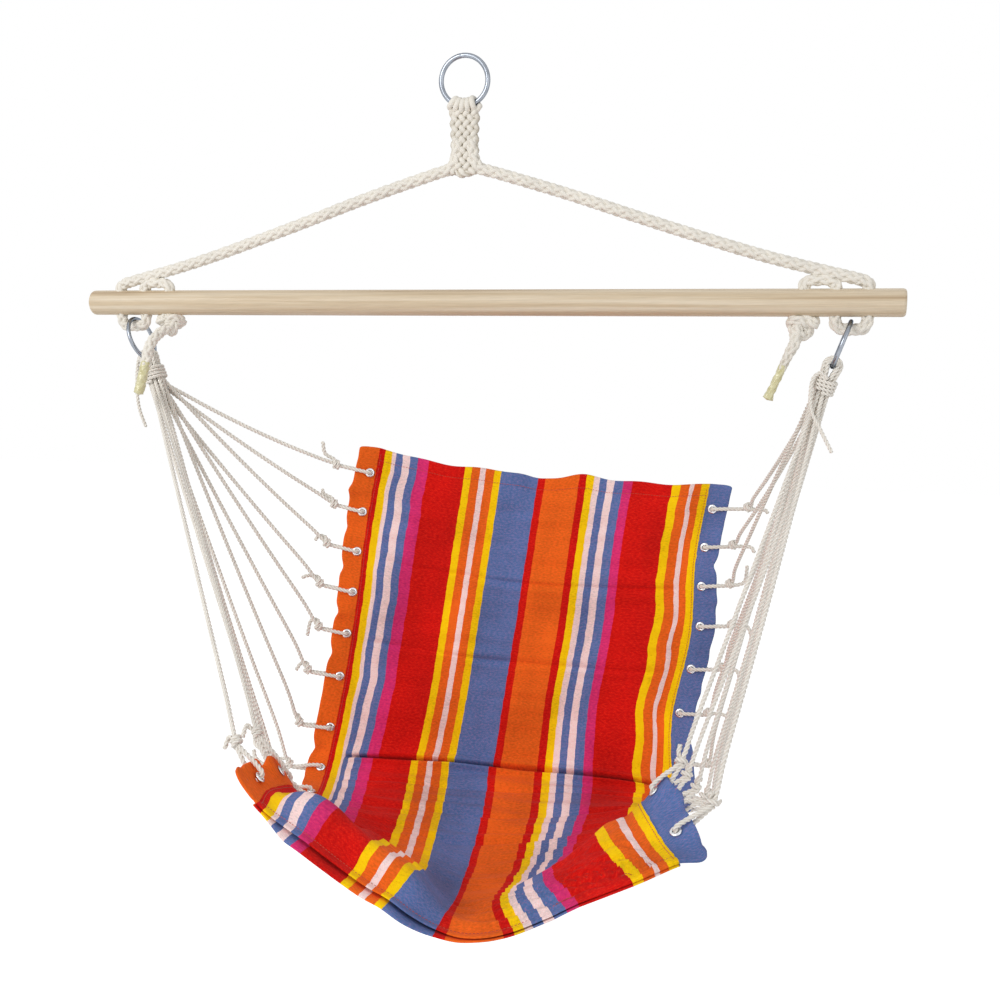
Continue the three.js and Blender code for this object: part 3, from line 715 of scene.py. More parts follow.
bar = finished("turned_spreader_bar", bar_shape, wood, "yoke", ["spreader_bar"])
drills = bmesh.new()
for x in [*hole_x, *[-hole for hole in hole_x]]:
    through_bar = Matrix.Translation((x * MM, 0, -bar_drop * MM))
    add_drill(drills, hole_radius, 1.4 * bar_diameter, 32, through_bar)
cut_away(bar, drills)
bar.data.set_sharp_from_angle(angle=math.radians(40))
print("bar faces", len(bar.data.polygons))

# %% [markdown]
# ## The rope yoke
# The arms are a round plait of eight soft strands: four go round one way and four the other,
# and each strand passes over one and under the next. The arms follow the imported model's line
# from the band to the bar, down through the outer hole, round under the bar, up, over and
# down again, and end in a stopper knot.


# %% Plaited rope
# Shares of a strand's radius: how far its middle lies inside the rope, how far it rises and
# dips where strands cross, how full it is drawn, and how deep the core's surface lies.
strand_inset, strand_lift, strand_fullness, core_inset = 1.05, 0.42, 1.2, 0.6
# Shares of the rope's radius over which the crown rises from groove to top, which sets the painted groove
# shade.
groove_share, crown_share = 0.55, 0.97


def plait(line, rope_radius, strand_radius, lay, each_way=4, narrowing=None):
    """Strands that go round a line both ways and pass over and under each other, and a core."""
    share = np.ones(len(line)) if narrowing is None else narrowing
    _, side, up = frames_along(line)
    turn = 2 * math.pi * arc_lengths(line) / lay
    middle = rope_radius - strand_radius * strand_inset
    lift = strand_radius * strand_lift
    strands = []
    for way in (1, -1):
        for start in np.arange(each_way) * 2 * math.pi / each_way:
            angle = way * turn + start
            out = share * (middle + way * lift * np.cos(each_way * turn))
            strand = line + (out * np.cos(angle))[:, None] * side + (out * np.sin(angle))[:, None] * up
            strands.append(swept(strand, strand_radius * strand_fullness, round_section(9), widths=share))
    core = swept(line, rope_radius - strand_radius * core_inset, round_section(12), widths=share)
    return [*strands, core]


def soft_crown(tubes, centre_line, rope_radius):
    """Crown values by how far each point stands from the rope's middle; they set the painted shade in the
    grooves.
    """
    shaded = []
    for points, faces, _ in tubes:
        away = np.linalg.norm(points[:, None, :] - centre_line[None, ::3, :], axis=2)
        nearest = np.min(away, axis=1)
        crown = (nearest / rope_radius - groove_share) / (crown_share - groove_share)
        shaded.append((points, faces, np.clip(crown, 0, 1)))
    return shaded


band_top, band_length, band_width = 61.4, 72, 34
arm_top = -band_top - band_length + 7.5
print("band from", -band_top, "to", -band_top - band_length, "mm")

# %% Arms
outer, middle_hole, inner = hole_x
bump, loop = -bar_drop + bump_rise, -bar_drop - loop_drop
above, below = -bar_drop + 17, -bar_drop - 17
turn_radius = 9.2
arm_radius, arm_strand, arm_lay = rope_diameter / 2 + 0.4, 2.25, 64
cut = turn_radius * (1 - math.sqrt(0.5))
arm_shares = [(0.27, 0.235), (0.5, 0.51), (0.75, 0.79)]


def arm_points():
    """The arm's way through the bar, as distances outboard and heights."""
    start = band_width / 2 + 0.3
    return [
        (8.5, arm_top + 36),
        (9.5, arm_top + 22),
        (12.5, arm_top + 9),
        (21, arm_top + 0.5),
        (start + rope_diameter + turn_radius, arm_top - 4),
        *[(outer * out, arm_top - (arm_top - bump) * down) for out, down in arm_shares],
        (outer - 2 * turn_radius, bump + 2.3),
        (outer - turn_radius, bump),
        (outer - cut, bump - cut),
        (outer, above),
        (outer, below),
        (outer - cut, loop + cut),
        (outer - turn_radius, loop),
        (middle_hole + turn_radius, loop),
        (middle_hole + cut, loop + cut),
        (middle_hole, below),
        (middle_hole, above),
        (middle_hole - cut, bump - cut),
        (middle_hole - turn_radius, bump),
        (inner + turn_radius, bump),
        (inner + cut, bump - cut),
        (inner, above),
        (inner, -bar_drop),
        (inner, below + 2),
    ]


for side, sign in sides.items():
    line = smooth_line([(sign * x, 0, z) for x, z in arm_points()], 1.6)
    tubes = soft_crown(plait(line, arm_radius, arm_strand, arm_lay), line, arm_radius)
    rope_piece(f"plaited_arm_{side}", tubes, cotton_rope, "yoke", [f"yoke_rope_{side}"])
    print("arm", side, round(arc_lengths(line)[-1]), "mm of rope")

# %% [markdown]
# ## The plaited band
# Under the ring the rope's strands are plaited flat. Each of seven strands runs from one edge
# of the band to the other and back, in front of the strands it meets and then behind them,
# and turns from the front to the back at the edges. Above it the strands are wound side by
# side round the ring's wire.

# %% Band
band_strands, band_period, strand_width, band_reach, band_depth = 7, 84, 3.3, 16.0, 2.7
# The band is a tenth narrower at its waist, and half as wide again where the arms part.
band_waist, band_flare, flare_start, flare_length = 0.1, 0.5, 52, 20
edge_rounding, band_groove, band_crown = 0.12, 1.0, 5.2


def band_line(index):
    """One strand's line down the band, in millimetres."""
    down = np.linspace(-4, band_length - 4, 90)
    phase = (down / band_period + index / band_strands) % 1
    across = 1 - 4 * np.abs(phase - 0.5)
    narrow = 1 - band_waist * np.sin(np.pi * np.clip(down / band_length, 0, 1))
    flare = 1 + band_flare * np.clip((down - flare_start) / flare_length, 0, 1) ** 2
    reach = band_reach * narrow * flare
    way = np.sin(2 * np.pi * phase)
    way = way / np.sqrt(way**2 + 0.12)
    depth = band_depth * np.cos(2 * np.pi * band_strands * phase) * way
    rounded = across * (1 - edge_rounding * across**2) / (1 - edge_rounding)
    return np.stack([rounded * reach, depth, -band_top - down], axis=1)


band_tubes = []
for index in range(band_strands):
    points, faces, _ = swept(evenly(band_line(index), 1.5), strand_width, round_section(12))
    # Crown values by depth from the band's middle: low where strands pass under others, where the yarn is
    # painted darker as shade.
    crown = (np.abs(points[:, 1]) - band_groove) / (band_crown - band_groove)
    band_tubes.append((points, faces, np.clip(crown, 0, 1)))
rope_piece("plaited_band", band_tubes, cotton_rope, "yoke", ["yoke_band"])

# %% Turns on the ring
turn_count, turn_pitch, turn_strand, steps_each = 5, 6.3, 3.25, 28
wire_reach = ring_wire / 2 + turn_strand
arc = turn_count * turn_pitch / ring_mid
steps = np.arange(turn_count * steps_each + 1)
along = -arc / 2 + arc * steps / steps[-1]
turn = math.pi + 2 * math.pi * steps / steps_each
turn_reach = ring_mid - wire_reach * np.cos(turn)
turn_heights = -ring_centre_drop - turn_reach * np.cos(along)
turns_line = np.stack([turn_reach * np.sin(along), wire_reach * np.sin(turn), turn_heights], axis=1)
into_band = np.array([[-8, 0, -12], [-4, 0, -5]])
first_end, last_end = turns_line[0] - into_band * [1, 1, -1], turns_line[-1] + into_band[::-1]
turns_line = np.vstack([first_end, turns_line, last_end])
turn_tubes = [swept(evenly(turns_line, 1.2), turn_strand, round_section(12))]
rope_piece("turns_on_the_ring", turn_tubes, cotton_rope, "yoke")

# %% The strand that crosses where the arms part
crossing = [(-22, 0, -1), (-12, 1, -1), (-3, -2, -5), (6, 1, -3), (18, 0, 1)]
crossing_radius, crossing_lay = 4.4, 26
crossing_line = smooth_line([(x, y, arm_top + z) for x, y, z in crossing], 1.5)
crossing_tube = swept(crossing_line, crossing_radius, three_strands(), lay=crossing_lay)
rope_piece("band_crossing_strand", [crossing_tube], cotton_rope, "yoke")
print("turns", round(arc_lengths(turns_line)[-1]), "mm of strand")

# %% [markdown]
# ## Stopper knots and taped ends
# Under the inner hole each rope is tied in an overhand knot that can't pass through. The
# knot's line is that of a trefoil, opened where the rope comes in and where it goes out. The
# loose end hangs below it, and its last 40 mm are wrapped in tape.


# %% Knots
def knot_line(top, size, height, mirrored):
    """A tight overhand knot below the place where a rope comes down to it."""
    turns = np.linspace(math.radians(35), math.radians(325), 60)
    x = (np.sin(turns) + 2 * np.sin(2 * turns)) / 3
    z = (np.cos(turns) - 2 * np.cos(2 * turns)) / 3
    y = -np.sin(3 * turns)
    core = np.stack([mirrored * x * size, y * size * 0.36, z * height], axis=1)
    core = core + top + np.array([0, 0, -height - 1.5])
    if np.linalg.norm(core[-1] - top) < np.linalg.norm(core[0] - top):
        core = core[::-1]
    return np.vstack([top, core])


# The loose end's way from the middle of the knot, in rope diameters, with X away from the middle.
tail_shares = {
    "left": [(0.26, -1.65, -0.78), (0.7, -3.4, -2.17), (0.87, -4.1, -4)],
    "right": [(-0.6, -0.7, -1.2), (-1.2, -0.95, -2.6), (-1.65, -1.05, -3.65)],
}
knot_top = -bar_drop - bar_diameter / 2 - 0.6
knot_size, knot_height = 13.5, 11
knot_rope, knot_strand, knot_lay = 5.8, 2.15, 58
tape_length, tape_radius, tab_length = 40, 6.1, 7
# The tape squeezes the right end thinner, and its loose tab makes the tip wider again.
end_width = {"left": 1.0, "right": 0.74}
tab_width = {"left": 0.0, "right": 0.4}


def stopper(side, sign):
    """The knot with its loose end, and the tape round the last of it."""
    middle = np.array([sign * inner, 0, knot_top - knot_height])
    tail = [middle + np.array([sign * x, y, z]) * rope_diameter for x, y, z in tail_shares[side]]
    direction = unit(tail[-1] - tail[-2])
    knot = knot_line(np.array([sign * inner, 0, knot_top + 3]), knot_size, knot_height, sign)
    line = smooth_line([*knot[::3], *tail, tail[-1] + direction * 5], 1.4)
    to_tape = arc_lengths(line)[-1] - arc_lengths(line)
    narrowing = 1 - (1 - end_width[side]) * np.clip(1.25 - to_tape / 24, 0, 1)
    tubes = soft_crown(plait(line, knot_rope, knot_strand, knot_lay, narrowing=narrowing), line, knot_rope)
    rope_piece(f"overhand_stopper_{side}", tubes, cotton_rope, "yoke", [f"stopper_knot_{side}"])

    sleeve_start = tail[-1] + direction * 0.3
    sleeve_line = evenly(np.array([sleeve_start, sleeve_start + direction * tape_length]), 1.0)
    down = arc_lengths(sleeve_line)
    widths = 1 + 0.07 * np.sin(down * 0.7) * np.cos(down * 0.23)
    widths += tab_width[side] * np.clip(down / tab_length - tape_length / tab_length + 1, 0, 1)
    around = round_section(24)[0]
    lumps = around, 1 + 0.06 * np.cos(around * 5)
    sleeve = swept(sleeve_line, tape_radius * end_width[side], lumps, lay=70, widths=widths)
    rope_piece(f"taped_rope_end_{side}", [sleeve], tape, "yoke", [f"rope_end_tape_{side}"])
    print("stopper", side, round(arc_lengths(line)[-1]), "mm of rope")


for side, sign in sides.items():
    stopper(side, sign)

# %% [markdown]
# ## The cloth
# The seat is two layers of striped cloth with wadding between them, sewn together along the
# sides, the top and the front. It hangs like a hammock, so its shape is given by three lines
# down its length, left, middle and right, and a bow across between them. The same rows are in
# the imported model. Every place on the cloth is named by u across and v down its length, and
# these two are also its UV map, so that the stripes follow the cloth however it hangs.

# %% Rows of the cloth: v, then left, middle and right as shares of its width and length
cloth_shares = [
    [0, [-0.365, 0.131, -0.197], [0.085, 0.216, -0.246], [0.595, 0.224, -0.248]],
    [0.11, [-0.398, 0.116, -0.302], [0.06, 0.202, -0.354], [0.565, 0.21, -0.349]],
    [0.22, [-0.416, 0.1, -0.412], [0.038, 0.184, -0.459], [0.563, 0.194, -0.455]],
    [0.33, [-0.445, 0.084, -0.528], [0.017, 0.158, -0.564], [0.52, 0.175, -0.572]],
    [0.425, [-0.483, 0.066, -0.645], [0.008, 0.116, -0.657], [0.533, 0.152, -0.674]],
    [0.53, [-0.449, -0.015, -0.656], [0.052, 0.005, -0.669], [0.542, 0.062, -0.651]],
    [0.64, [-0.39, -0.112, -0.609], [0.083, -0.109, -0.674], [0.543, -0.042, -0.604]],
    [0.75, [-0.322, -0.21, -0.547], [0.11, -0.22, -0.665], [0.546, -0.141, -0.553]],
    [0.86, [-0.254, -0.304, -0.49], [0.145, -0.325, -0.635], [0.549, -0.235, -0.498]],
    [1, [-0.248, -0.401, -0.469], [0.188, -0.438, -0.593], [0.656, -0.317, -0.544]],
]
row_places = np.array([row[0] for row in cloth_shares])
edge_lines = [
    np.array([[x * cloth_width, y * cloth_length, z * cloth_length - bar_drop] for x, y, z in column])
    for column in ([row[k] for row in cloth_shares] for k in (1, 2, 3))
]
front_lift = 8
# The front edge is soft: it rolls up on the sitter's right and lifts a little on the left. The
# roll's crest lies roll_place behind the edge. Rows: u, how far the crest moves along X and up,
# how far the roll reaches back, and how far the edge moves along X and up, in millimetres.
CREST_X, CREST_UP, REACH_BACK, EDGE_X, EDGE_UP = range(1, 6)
front_rows = np.array(
    [
        [0, 0, 0, 28, 0, 0],
        [0.055, 0, 0, 28, 8, -7],
        [0.13, 18, 27, 28, 13, -2],
        [0.18, 22, 36, 30, 11, 4],
        [0.24, 19, 38, 80, 9, 7],
        [0.29, 16, 38, 165, 8, 8],
        [0.34, 16, 37, 200, 6, 9],
        [0.39, 13, 34, 200, 3, 11],
        [0.44, 7, 21, 190, 1, 6],
        [0.495, 2, 6, 150, 0, 0],
        [0.54, 0, 0, 80, 3, -5],
        [0.6, 0, 0, 42, 8, -3],
        [0.7, 0, 3, 42, 7, 6],
        [0.75, 0, 4, 42, 6, 12],
        [0.85, 0, 4, 42, 3, 15],
        [0.944, 0, 0, 42, -3, 12],
        [1, 0, 0, 42, 0, 0],
    ]
)
roll_place, roll_width, edge_width, top_width, top_corner = 56, 28, 36, 26, 0.06
# Bulges and dips of the top edge: u, half width as a share of the width, and height.
top_bumps = [(0.615, 0.06, 8), (0.49, 0.03, -3)]
hem_width, hem_thickness, end_hem = 28, 3, 16


def from_side(u):
    """Distance from the nearer side edge in millimetres."""
    return np.minimum(u, 1 - u) * cloth_width


def from_end(v):
    """Distance from the nearer of the top and the front edge in millimetres."""
    return np.minimum(v, 1 - v) * cloth_length


def hump(distance, half_width):
    """1 at a distance of 0, and falling off smoothly to both sides."""
    return np.exp(-((distance / half_width) ** 2))


def smooth_step(share):
    share = np.clip(share, 0, 1)
    return share * share * (3 - 2 * share)


def through(rows, places, wanted):
    """Rows that belong to rising places, taken at wanted places on a smooth curve."""
    last = len(places) - 1
    at = np.clip(np.interp(wanted, places, np.arange(len(places)) / last), 0, 1) * last
    i = np.minimum(at.astype(int), last - 1)
    around = with_ends(rows)
    return curve(around[i], around[i + 1], around[i + 2], around[i + 3], (at - i)[:, None])


def front_value(u, column):
    """One column of the front rows at places u across."""
    return through(front_rows[:, [column]], front_rows[:, 0], u)[:, 0]


def middle_surface(u, v):
    """Places on the cloth's middle surface, in millimetres, for arrays of u and v."""
    left, centre, right = (through(line, row_places, v) for line in edge_lines)
    u1 = u[:, None]
    bowed = left * (1 - u1) * (1 - 2 * u1) + centre * 4 * u1 * (1 - u1) + right * u1 * (2 * u1 - 1)
    bowed[:, 2] += front_lift * v**3 * np.sin(2 * np.pi * u) ** 2
    from_front = (1 - v) * cloth_length
    behind = np.maximum(from_front - roll_place, 0) / np.maximum(front_value(u, REACH_BACK), roll_width)
    ahead = np.maximum(roll_place - from_front, 0) / roll_width
    crest = np.exp(-(behind**2) - ahead**2)
    edge = hump(from_front, edge_width)
    top = hump(v * cloth_length, top_width) * smooth_step(u / top_corner) * smooth_step((1 - u) / top_corner)
    top_wave = 3 * u + 1.6 * np.sin(19 * u + 0.4) + 0.9 * np.sin(43 * u)
    top_wave += sum(height * hump(u - place, half_width) for place, half_width, height in top_bumps)
    bowed[:, 0] += front_value(u, CREST_X) * crest + front_value(u, EDGE_X) * edge
    bowed[:, 2] += front_value(u, CREST_UP) * crest + front_value(u, EDGE_UP) * edge + top_wave * top
    return bowed


def cloth_frame(u, v):
    """Place, across, along and normal (toward the sitter) for arrays of u and v."""
    step = 0.004
    inside = np.clip(v, 0, 1)
    place = middle_surface(u, inside)
    across = unit(middle_surface(u + step, inside) - middle_surface(u - step, inside))
    ahead, behind = np.minimum(inside + step, 1), np.maximum(inside - step, 0)
    along = unit(middle_surface(u, ahead) - middle_surface(u, behind))
    return place, across, along, unit(np.cross(along, across))


print("cloth middle at", np.round(middle_surface(np.array([0.5]), np.array([0.5]))[0]))

# %% Padding and folds
# Folds that run across the cloth: v, depth in millimetres, half width in millimetres.
folds = [
    (0.154, 2.0, 2.8),
    (0.27, 2.0, 3.0),
    (0.415, 11.5, 2.7),
    (0.468, 4.2, 4.5),
    (0.545, 3.2, 6),
    (0.62, 3.0, 7),
    (0.86, 2.0, 8),
]
deep_fold, fold_waver = folds[2], 0.0022
pad_edge, pad_half_thickness = 45, 5.8
seam_depth, seam_half_width, end_half_width = 1.5, 2.4, 2.2
pad_rise, least_back, least_height, deepest_fold = 0.9, 1.6, 0.35, -2.6
# The lips of a fold: height as a share of its depth, place and half width in its half widths.
fold_lips = [(0.6, 2.8, 1.8), (0.4, -2.8, 1.6)]
# Relief of the padding: height, and the size of one bump across and along, in millimetres.
puckers, billows, creases = (3.0, 60, 17), (4.2, 150, 46), (2.9, 80, 14)
# Gathers at the front corner on the sitter's left and at the top corner on the right: height,
# the place across that they run to, and how close the rays lie.
front_gathers, top_gathers = (9, 0.97, 17), (4.5, 0, 15)


def noise_at(u, v, across_scale, along_scale, seed):
    """Smooth noise over the cloth, its grain given in millimetres across and along."""
    return np.array(
        [
            noise.noise((a * cloth_width / across_scale, b * cloth_length / along_scale, seed))
            for a, b in zip(u, v)
        ]
    )


def noise_along(v, scale, seed):
    """Smooth noise that changes only down the cloth."""
    return noise_at(v * 0, v, 1, scale, seed)


def relief(u, v, bumps, seed):
    height, across_scale, along_scale = bumps
    return height * noise_at(u, v, across_scale, along_scale, seed)


def gathered(u, v, gathers, seed):
    """Creases that run out of a corner of the padding like rays."""
    height, corner_u, closeness = gathers
    turn = np.arctan2(from_end(v) + 4, np.abs(corner_u - u) * cloth_width + 12)
    return height * noise_at(turn * closeness / cloth_width, v * 0, 1, 1, seed)


def eased(distance, reach):
    """0 at a distance of 0, rising to 1 where the reach ends, like a cushion's edge."""
    return np.sin(np.clip(distance / reach, 0, 1) * math.pi / 2)


def from_fold(u, v, fold):
    """How far places lie below a fold's line, in half widths of the fold."""
    place, _, half_width = fold
    bend = fold_waver * noise_at(u, v * 0, 90, 1, place * 50)
    return (v - place - bend) * cloth_length / half_width


def pad_height(u, v, seed, folded=True):
    """How far a face of the padding stands off the cloth's middle surface."""
    side, end = from_side(u), from_end(v)
    wander = 2.2 * noise_along(v, 34, seed + 3) * hump(side - pad_edge, 20)
    swell = eased(side - pad_edge + wander, 24) * eased(end - end_hem, 22)
    height = pad_rise + pad_half_thickness * swell
    height += relief(u, v, puckers, seed) * hump(side - pad_edge - 6, 15) * eased(end - end_hem, 10)
    height += relief(u, v, billows, seed + 7) * swell
    sat_on = 1 + 0.9 * smooth_step((v - 0.38) / 0.05) * smooth_step((0.82 - v) / 0.1)
    height += relief(u, v, creases, seed + 9) * sat_on * swell
    at_front = smooth_step((v - 0.8) / 0.12) * smooth_step((u - 0.5) / 0.15)
    at_front *= eased(side - hem_width, 26) * eased(end, 9)
    height += at_front * gathered(u, v, front_gathers, seed + 5)
    at_top = smooth_step((0.17 - v) / 0.12) * smooth_step((0.5 - u) / 0.2)
    height += at_top * gathered(u, v, top_gathers, seed + 11)
    seams = hump(side - pad_edge + wander, seam_half_width) + hump(end - end_hem, end_half_width)
    height -= seam_depth * np.minimum(seams, 1)
    if not folded:
        return np.maximum(height, least_back)
    for fold in folds:
        away, depth = from_fold(u, v, fold), fold[1]
        height -= depth * swell * hump(away, 1)
        for share, place, half_width in fold_lips:
            height += share * depth * swell * hump(away + place, half_width)
    return np.maximum(height, np.where(np.abs(v - deep_fold[0]) < 0.02, deepest_fold, least_height))


pad_at = pad_height(np.array([0.5, 0.5, 0.06]), np.array([0.3, 0.415, 0.3]), 1)
print("pad stands", np.round(pad_at, 2), "mm")


# %% Sheets over the cloth's middle surface
# Millimetres: how far the side seam wavers and takes up cloth, and how far the stripes step
# aside below the deep fold.
seam_waver, seam_take_up, fold_step = 4.0, 5.2, 5.5


def stripe_shift(u, v):
    """How far the stripes lie aside: at the wavy seam, below the deep fold and where pulled."""
    side = from_side(u)
    wavy = seam_waver * noise_along(v, 48, 61)
    taken_up = seam_take_up * smooth_step((side - pad_edge - 2 + wavy) / 3) * smooth_step((side - 125) / -65)
    below = smooth_step((v - deep_fold[0]) * cloth_length / 2 + 0.5) * smooth_step((0.85 - v) / 0.3)
    stepped = fold_step * below * eased(side - pad_edge, 30) * smooth_step((0.8 - u) / 0.4)
    pulls = np.where(u < 0.5, 2.6 * noise_along(v, 36, 71), 3.6 * noise_along(v, 40, 72))
    pulled = pulls * smooth_step((side - 30) / 16) * smooth_step((150 - side) / 90)
    pulled *= smooth_step((0.8 - v) / 0.1)
    return (np.where(u < 0.5, taken_up, -taken_up) + stepped + pulled) / cloth_width


def closer_at_folds(v, v_range):
    """Moves evenly spaced rows so that they lie closer together at the folds."""
    fine = np.linspace(*v_range, 2000)
    density = 1 + sum(4 * hump((fine - place) * cloth_length, 9) for place, *_ in folds)
    reached = np.cumsum(density)
    share = (reached - reached[0]) / (reached[-1] - reached[0])
    wanted = (v - v_range[0]) / (v_range[1] - v_range[0])
    return np.interp(wanted, share, fine)


def cloth_piece(name, u_range, v_range, counts, low, high, replaced, shift=None):
    """A closed sheet between two heights, from an extruded grid laid on the cloth."""
    sheet = bmesh.new()
    bmesh.ops.create_grid(sheet, x_segments=counts[0], y_segments=counts[1], size=0.5)
    upper = bmesh.ops.extrude_face_region(sheet, geom=sheet.faces[:])["geom"]
    for item in upper:
        if isinstance(item, bmesh.types.BMVert):
            item.co.z = 1
    flat = np.array([point.co[:] for point in sheet.verts])
    u = u_range[0] + (u_range[1] - u_range[0]) * (flat[:, 0] + 0.5)
    v = closer_at_folds(v_range[0] + (v_range[1] - v_range[0]) * (0.5 - flat[:, 1]), v_range)
    uv_layer = sheet.loops.layers.uv.new("cloth")
    sheet.verts.index_update()
    stripe = u + stripe_shift(u, v)
    for face in sheet.faces:
        for corner in face.loops:
            corner[uv_layer].uv = (stripe[corner.vert.index], v[corner.vert.index])
    place, across, along, normal = cloth_frame(u, v)
    top = flat[:, 2] > 0.5
    height = np.where(top, high(u, v), low(u, v))
    place = place + normal * height[:, None]
    if shift is not None:
        place = place + shift(u, v, across, along, normal)
    for point, spot in zip(sheet.verts, place * MM):
        point.co = spot
    bmesh.ops.recalc_face_normals(sheet, faces=sheet.faces)
    return finished(name, sheet, cotton, "seat", replaced)


def rounded_edge(distance, reach):
    """1 inside a sheet, falling to nothing over the last stretch before its edge."""
    t = 1 - np.clip(distance / reach, 0, 1)
    return np.sqrt(np.maximum(1 - t**2, 0.02))


back_share, end_round, cover_rise = 0.6, 2.4, 0.5


def end_rounding(v):
    return rounded_edge(from_end(v), end_round)


def front_face(u, v):
    """The padding's face toward the sitter."""
    return pad_height(u, v, seed=1)


def back_face(u, v):
    """The padding's other face, which is flatter and has no folds."""
    return -back_share * pad_height(u, v, seed=11, folded=False)


def closed_lips(u, v, across, along, normal):
    """Brings the lips of the deep fold together, so that it shows as a thin dark line."""
    away, pull, reach = from_fold(u, v, deep_fold), 1.5, 1.8
    closing = pull * away * hump(away, reach) * eased(from_side(u) - pad_edge, 30)
    return -along * closing[:, None]


tucked_under = 1.2
seam = (hem_width - tucked_under) / cloth_width
panel = cloth_piece(
    "padded_seat_cloth",
    (seam, 1 - seam),
    (0, 1),
    (146, 328),
    lambda u, v: back_face(u, v) * end_rounding(v),
    lambda u, v: front_face(u, v) * end_rounding(v) + cover_rise,
    ["top_cover", "padding"],
    closed_lips,
)
print("panel faces", len(panel.data.polygons))

# %% The lower cloth
lower_reach, lower_gap, lower_thickness = 10, 0.6, 1.6


def lower_share(u):
    """Where the lower layer shows below the front edge: on the sitter's right only."""
    return 0.06 + 0.94 * smooth_step((u - 0.06) / 0.09) * smooth_step((0.58 - u) / 0.16)


def lower_overhang(u, v, across, along, normal):
    """The lower layer reaches past the front edge and hangs away from it."""
    past = np.maximum(v - 1, 0) * cloth_length
    near = hump((1 - v) * cloth_length, 30)
    away = (2.4 * near + 0.3 * past) * lower_share(u)
    return along * (past * lower_share(u))[:, None] - normal * away[:, None]


lower = cloth_piece(
    "lower_seat_cloth",
    (seam, 1 - seam),
    (0, 1 + lower_reach / cloth_length),
    (110, 240),
    lambda u, v: back_face(u, v) - lower_gap - lower_thickness,
    lambda u, v: back_face(u, v) - lower_gap,
    ["bottom_cover"],
    lower_overhang,
)
print("lower cloth reaches", lower_reach, "mm past the front")

# %% [markdown]
# ## Side hems and eyelets
# Along both sides the cloth is folded to a strip 28 mm wide and 3 mm thick, and 14 eyelets
# are pressed through each strip. The cords pull at the eyelets, so the strip ruffles a little
# between them, and it curls back at the front of the sitter's left side.

# %% Eyelet seats
back_shares = [0.036, 0.093, 0.15, 0.207, 0.264, 0.322, 0.379, 0.436]
eyelet_shares = [*back_shares, 0.52, 0.605, 0.69, 0.775, 0.86, 0.945]
eyelet_flange, eyelet_wall, eyelet_inset, eyelet_gap = 12.6, 0.7, 20, 0.95
half_seat = (eyelet_flange / 2 + 0.3) / cloth_length


def hem_u(sign, distance):
    """The u of a place at a distance from one side's edge."""
    return distance / cloth_width if sign < 0 else 1 - distance / cloth_width


def eyelet_seat(sign, index):
    """Middle, hem edge, way out and way to the sitter of one eyelet, in millimetres."""
    share = eyelet_shares[index]

    def corner(distance, end):
        u, v = hem_u(sign, distance), share + end * half_seat
        return middle_surface(np.array([u]), np.array([v]))[0]

    edge = (corner(0, -1) + corner(0, 1)) / 2
    inner_edge = (corner(hem_width, -1) + corner(hem_width, 1)) / 2
    along = corner(eyelet_inset, 1) - corner(eyelet_inset, -1)
    out = unit(edge - inner_edge)
    normal = unit(sign * np.cross(along, out))
    return edge - out * eyelet_inset, edge, out, normal


# %% Hems
# Between two eyelets the strip waves by ruffle, with finer hem_creases on it, and its edge
# wanders by edge_waver. At the front of the sitter's left side it is curled back and droops.
ruffle, hem_creases, edge_waver, edge_drawn_in = 13.0, (1.6, 30, 15), 13.0, 1.8
curl, curl_waver, curl_start, droop, droop_start = 16.0, 8.0, 0.8, 6, 0.953
held_reach, free_reach, calm_end = 7, 18, 70
corner_radius, corner_length, top_rounding = 13, 34, 0.3
punch_radius = 4.1


def hem_half(u, v):
    """Half the hem's thickness, pressed in along the stitches and rounded at the edges."""
    to_edge = from_side(u)
    stitched = 0.5 * hump(to_edge - hem_width + 3.5, 1.2)
    return (hem_thickness / 2 - stitched) * rounded_edge(to_edge, 1.6) * end_rounding(v)


def hem_ruffle(sign):
    """Moves the hem off its plane and its edge in and out, and rounds its corners."""

    def shift(u, v, across, along, normal):
        to_edge, to_end = from_side(u), from_end(v)
        nearest = np.min(np.abs(v[:, None] - np.array(eyelet_shares)[None, :]), axis=1) * cloth_length
        free = np.clip((nearest - held_reach) / free_reach, 0, 1) ** 2 * smooth_step(to_end / calm_end)
        outward = 1 - to_edge / hem_width
        waves = noise_along(v, 42, 20 + sign)
        lift = (ruffle * waves + relief(u, v, hem_creases, 30 + sign)) * outward * free
        wandering = edge_waver * noise_along(v, 44, 40 + sign)
        aside = sign * (wandering - edge_drawn_in) * free * outward
        cut = corner_radius - np.sqrt(corner_radius**2 - np.maximum(corner_radius - to_edge, 0) ** 2)
        cut *= np.where(v < 0.5, top_rounding, -1) * smooth_step(1 - to_end / corner_length)
        if sign > 0:
            curled = smooth_step((v - curl_start) / 0.05)
            lift += curled * (-(curl + curl_waver * waves) * outward * free - lift)
            lift -= droop * outward * smooth_step((v - droop_start) / 0.03)
        return normal * lift[:, None] + across * aside[:, None] + along * cut[:, None]

    return shift


for side, sign in sides.items():
    u_range = (0, hem_width / cloth_width) if sign < 0 else (1 - hem_width / cloth_width, 1)
    hem = cloth_piece(
        f"side_hem_cloth_{side}",
        u_range,
        (0, 1),
        (16, 480),
        lambda u, v: -hem_half(u, v),
        hem_half,
        [f"side_hem_{side}"],
        hem_ruffle(sign),
    )
    punches = bmesh.new()
    for index in range(len(eyelet_shares)):
        spot, _, _, normal = eyelet_seat(sign, index)
        add_drill(punches, punch_radius, 4 * hem_thickness, 16, facing(spot, normal))
    cut_away(hem, punches)
    print("hem faces", side, len(hem.data.polygons))

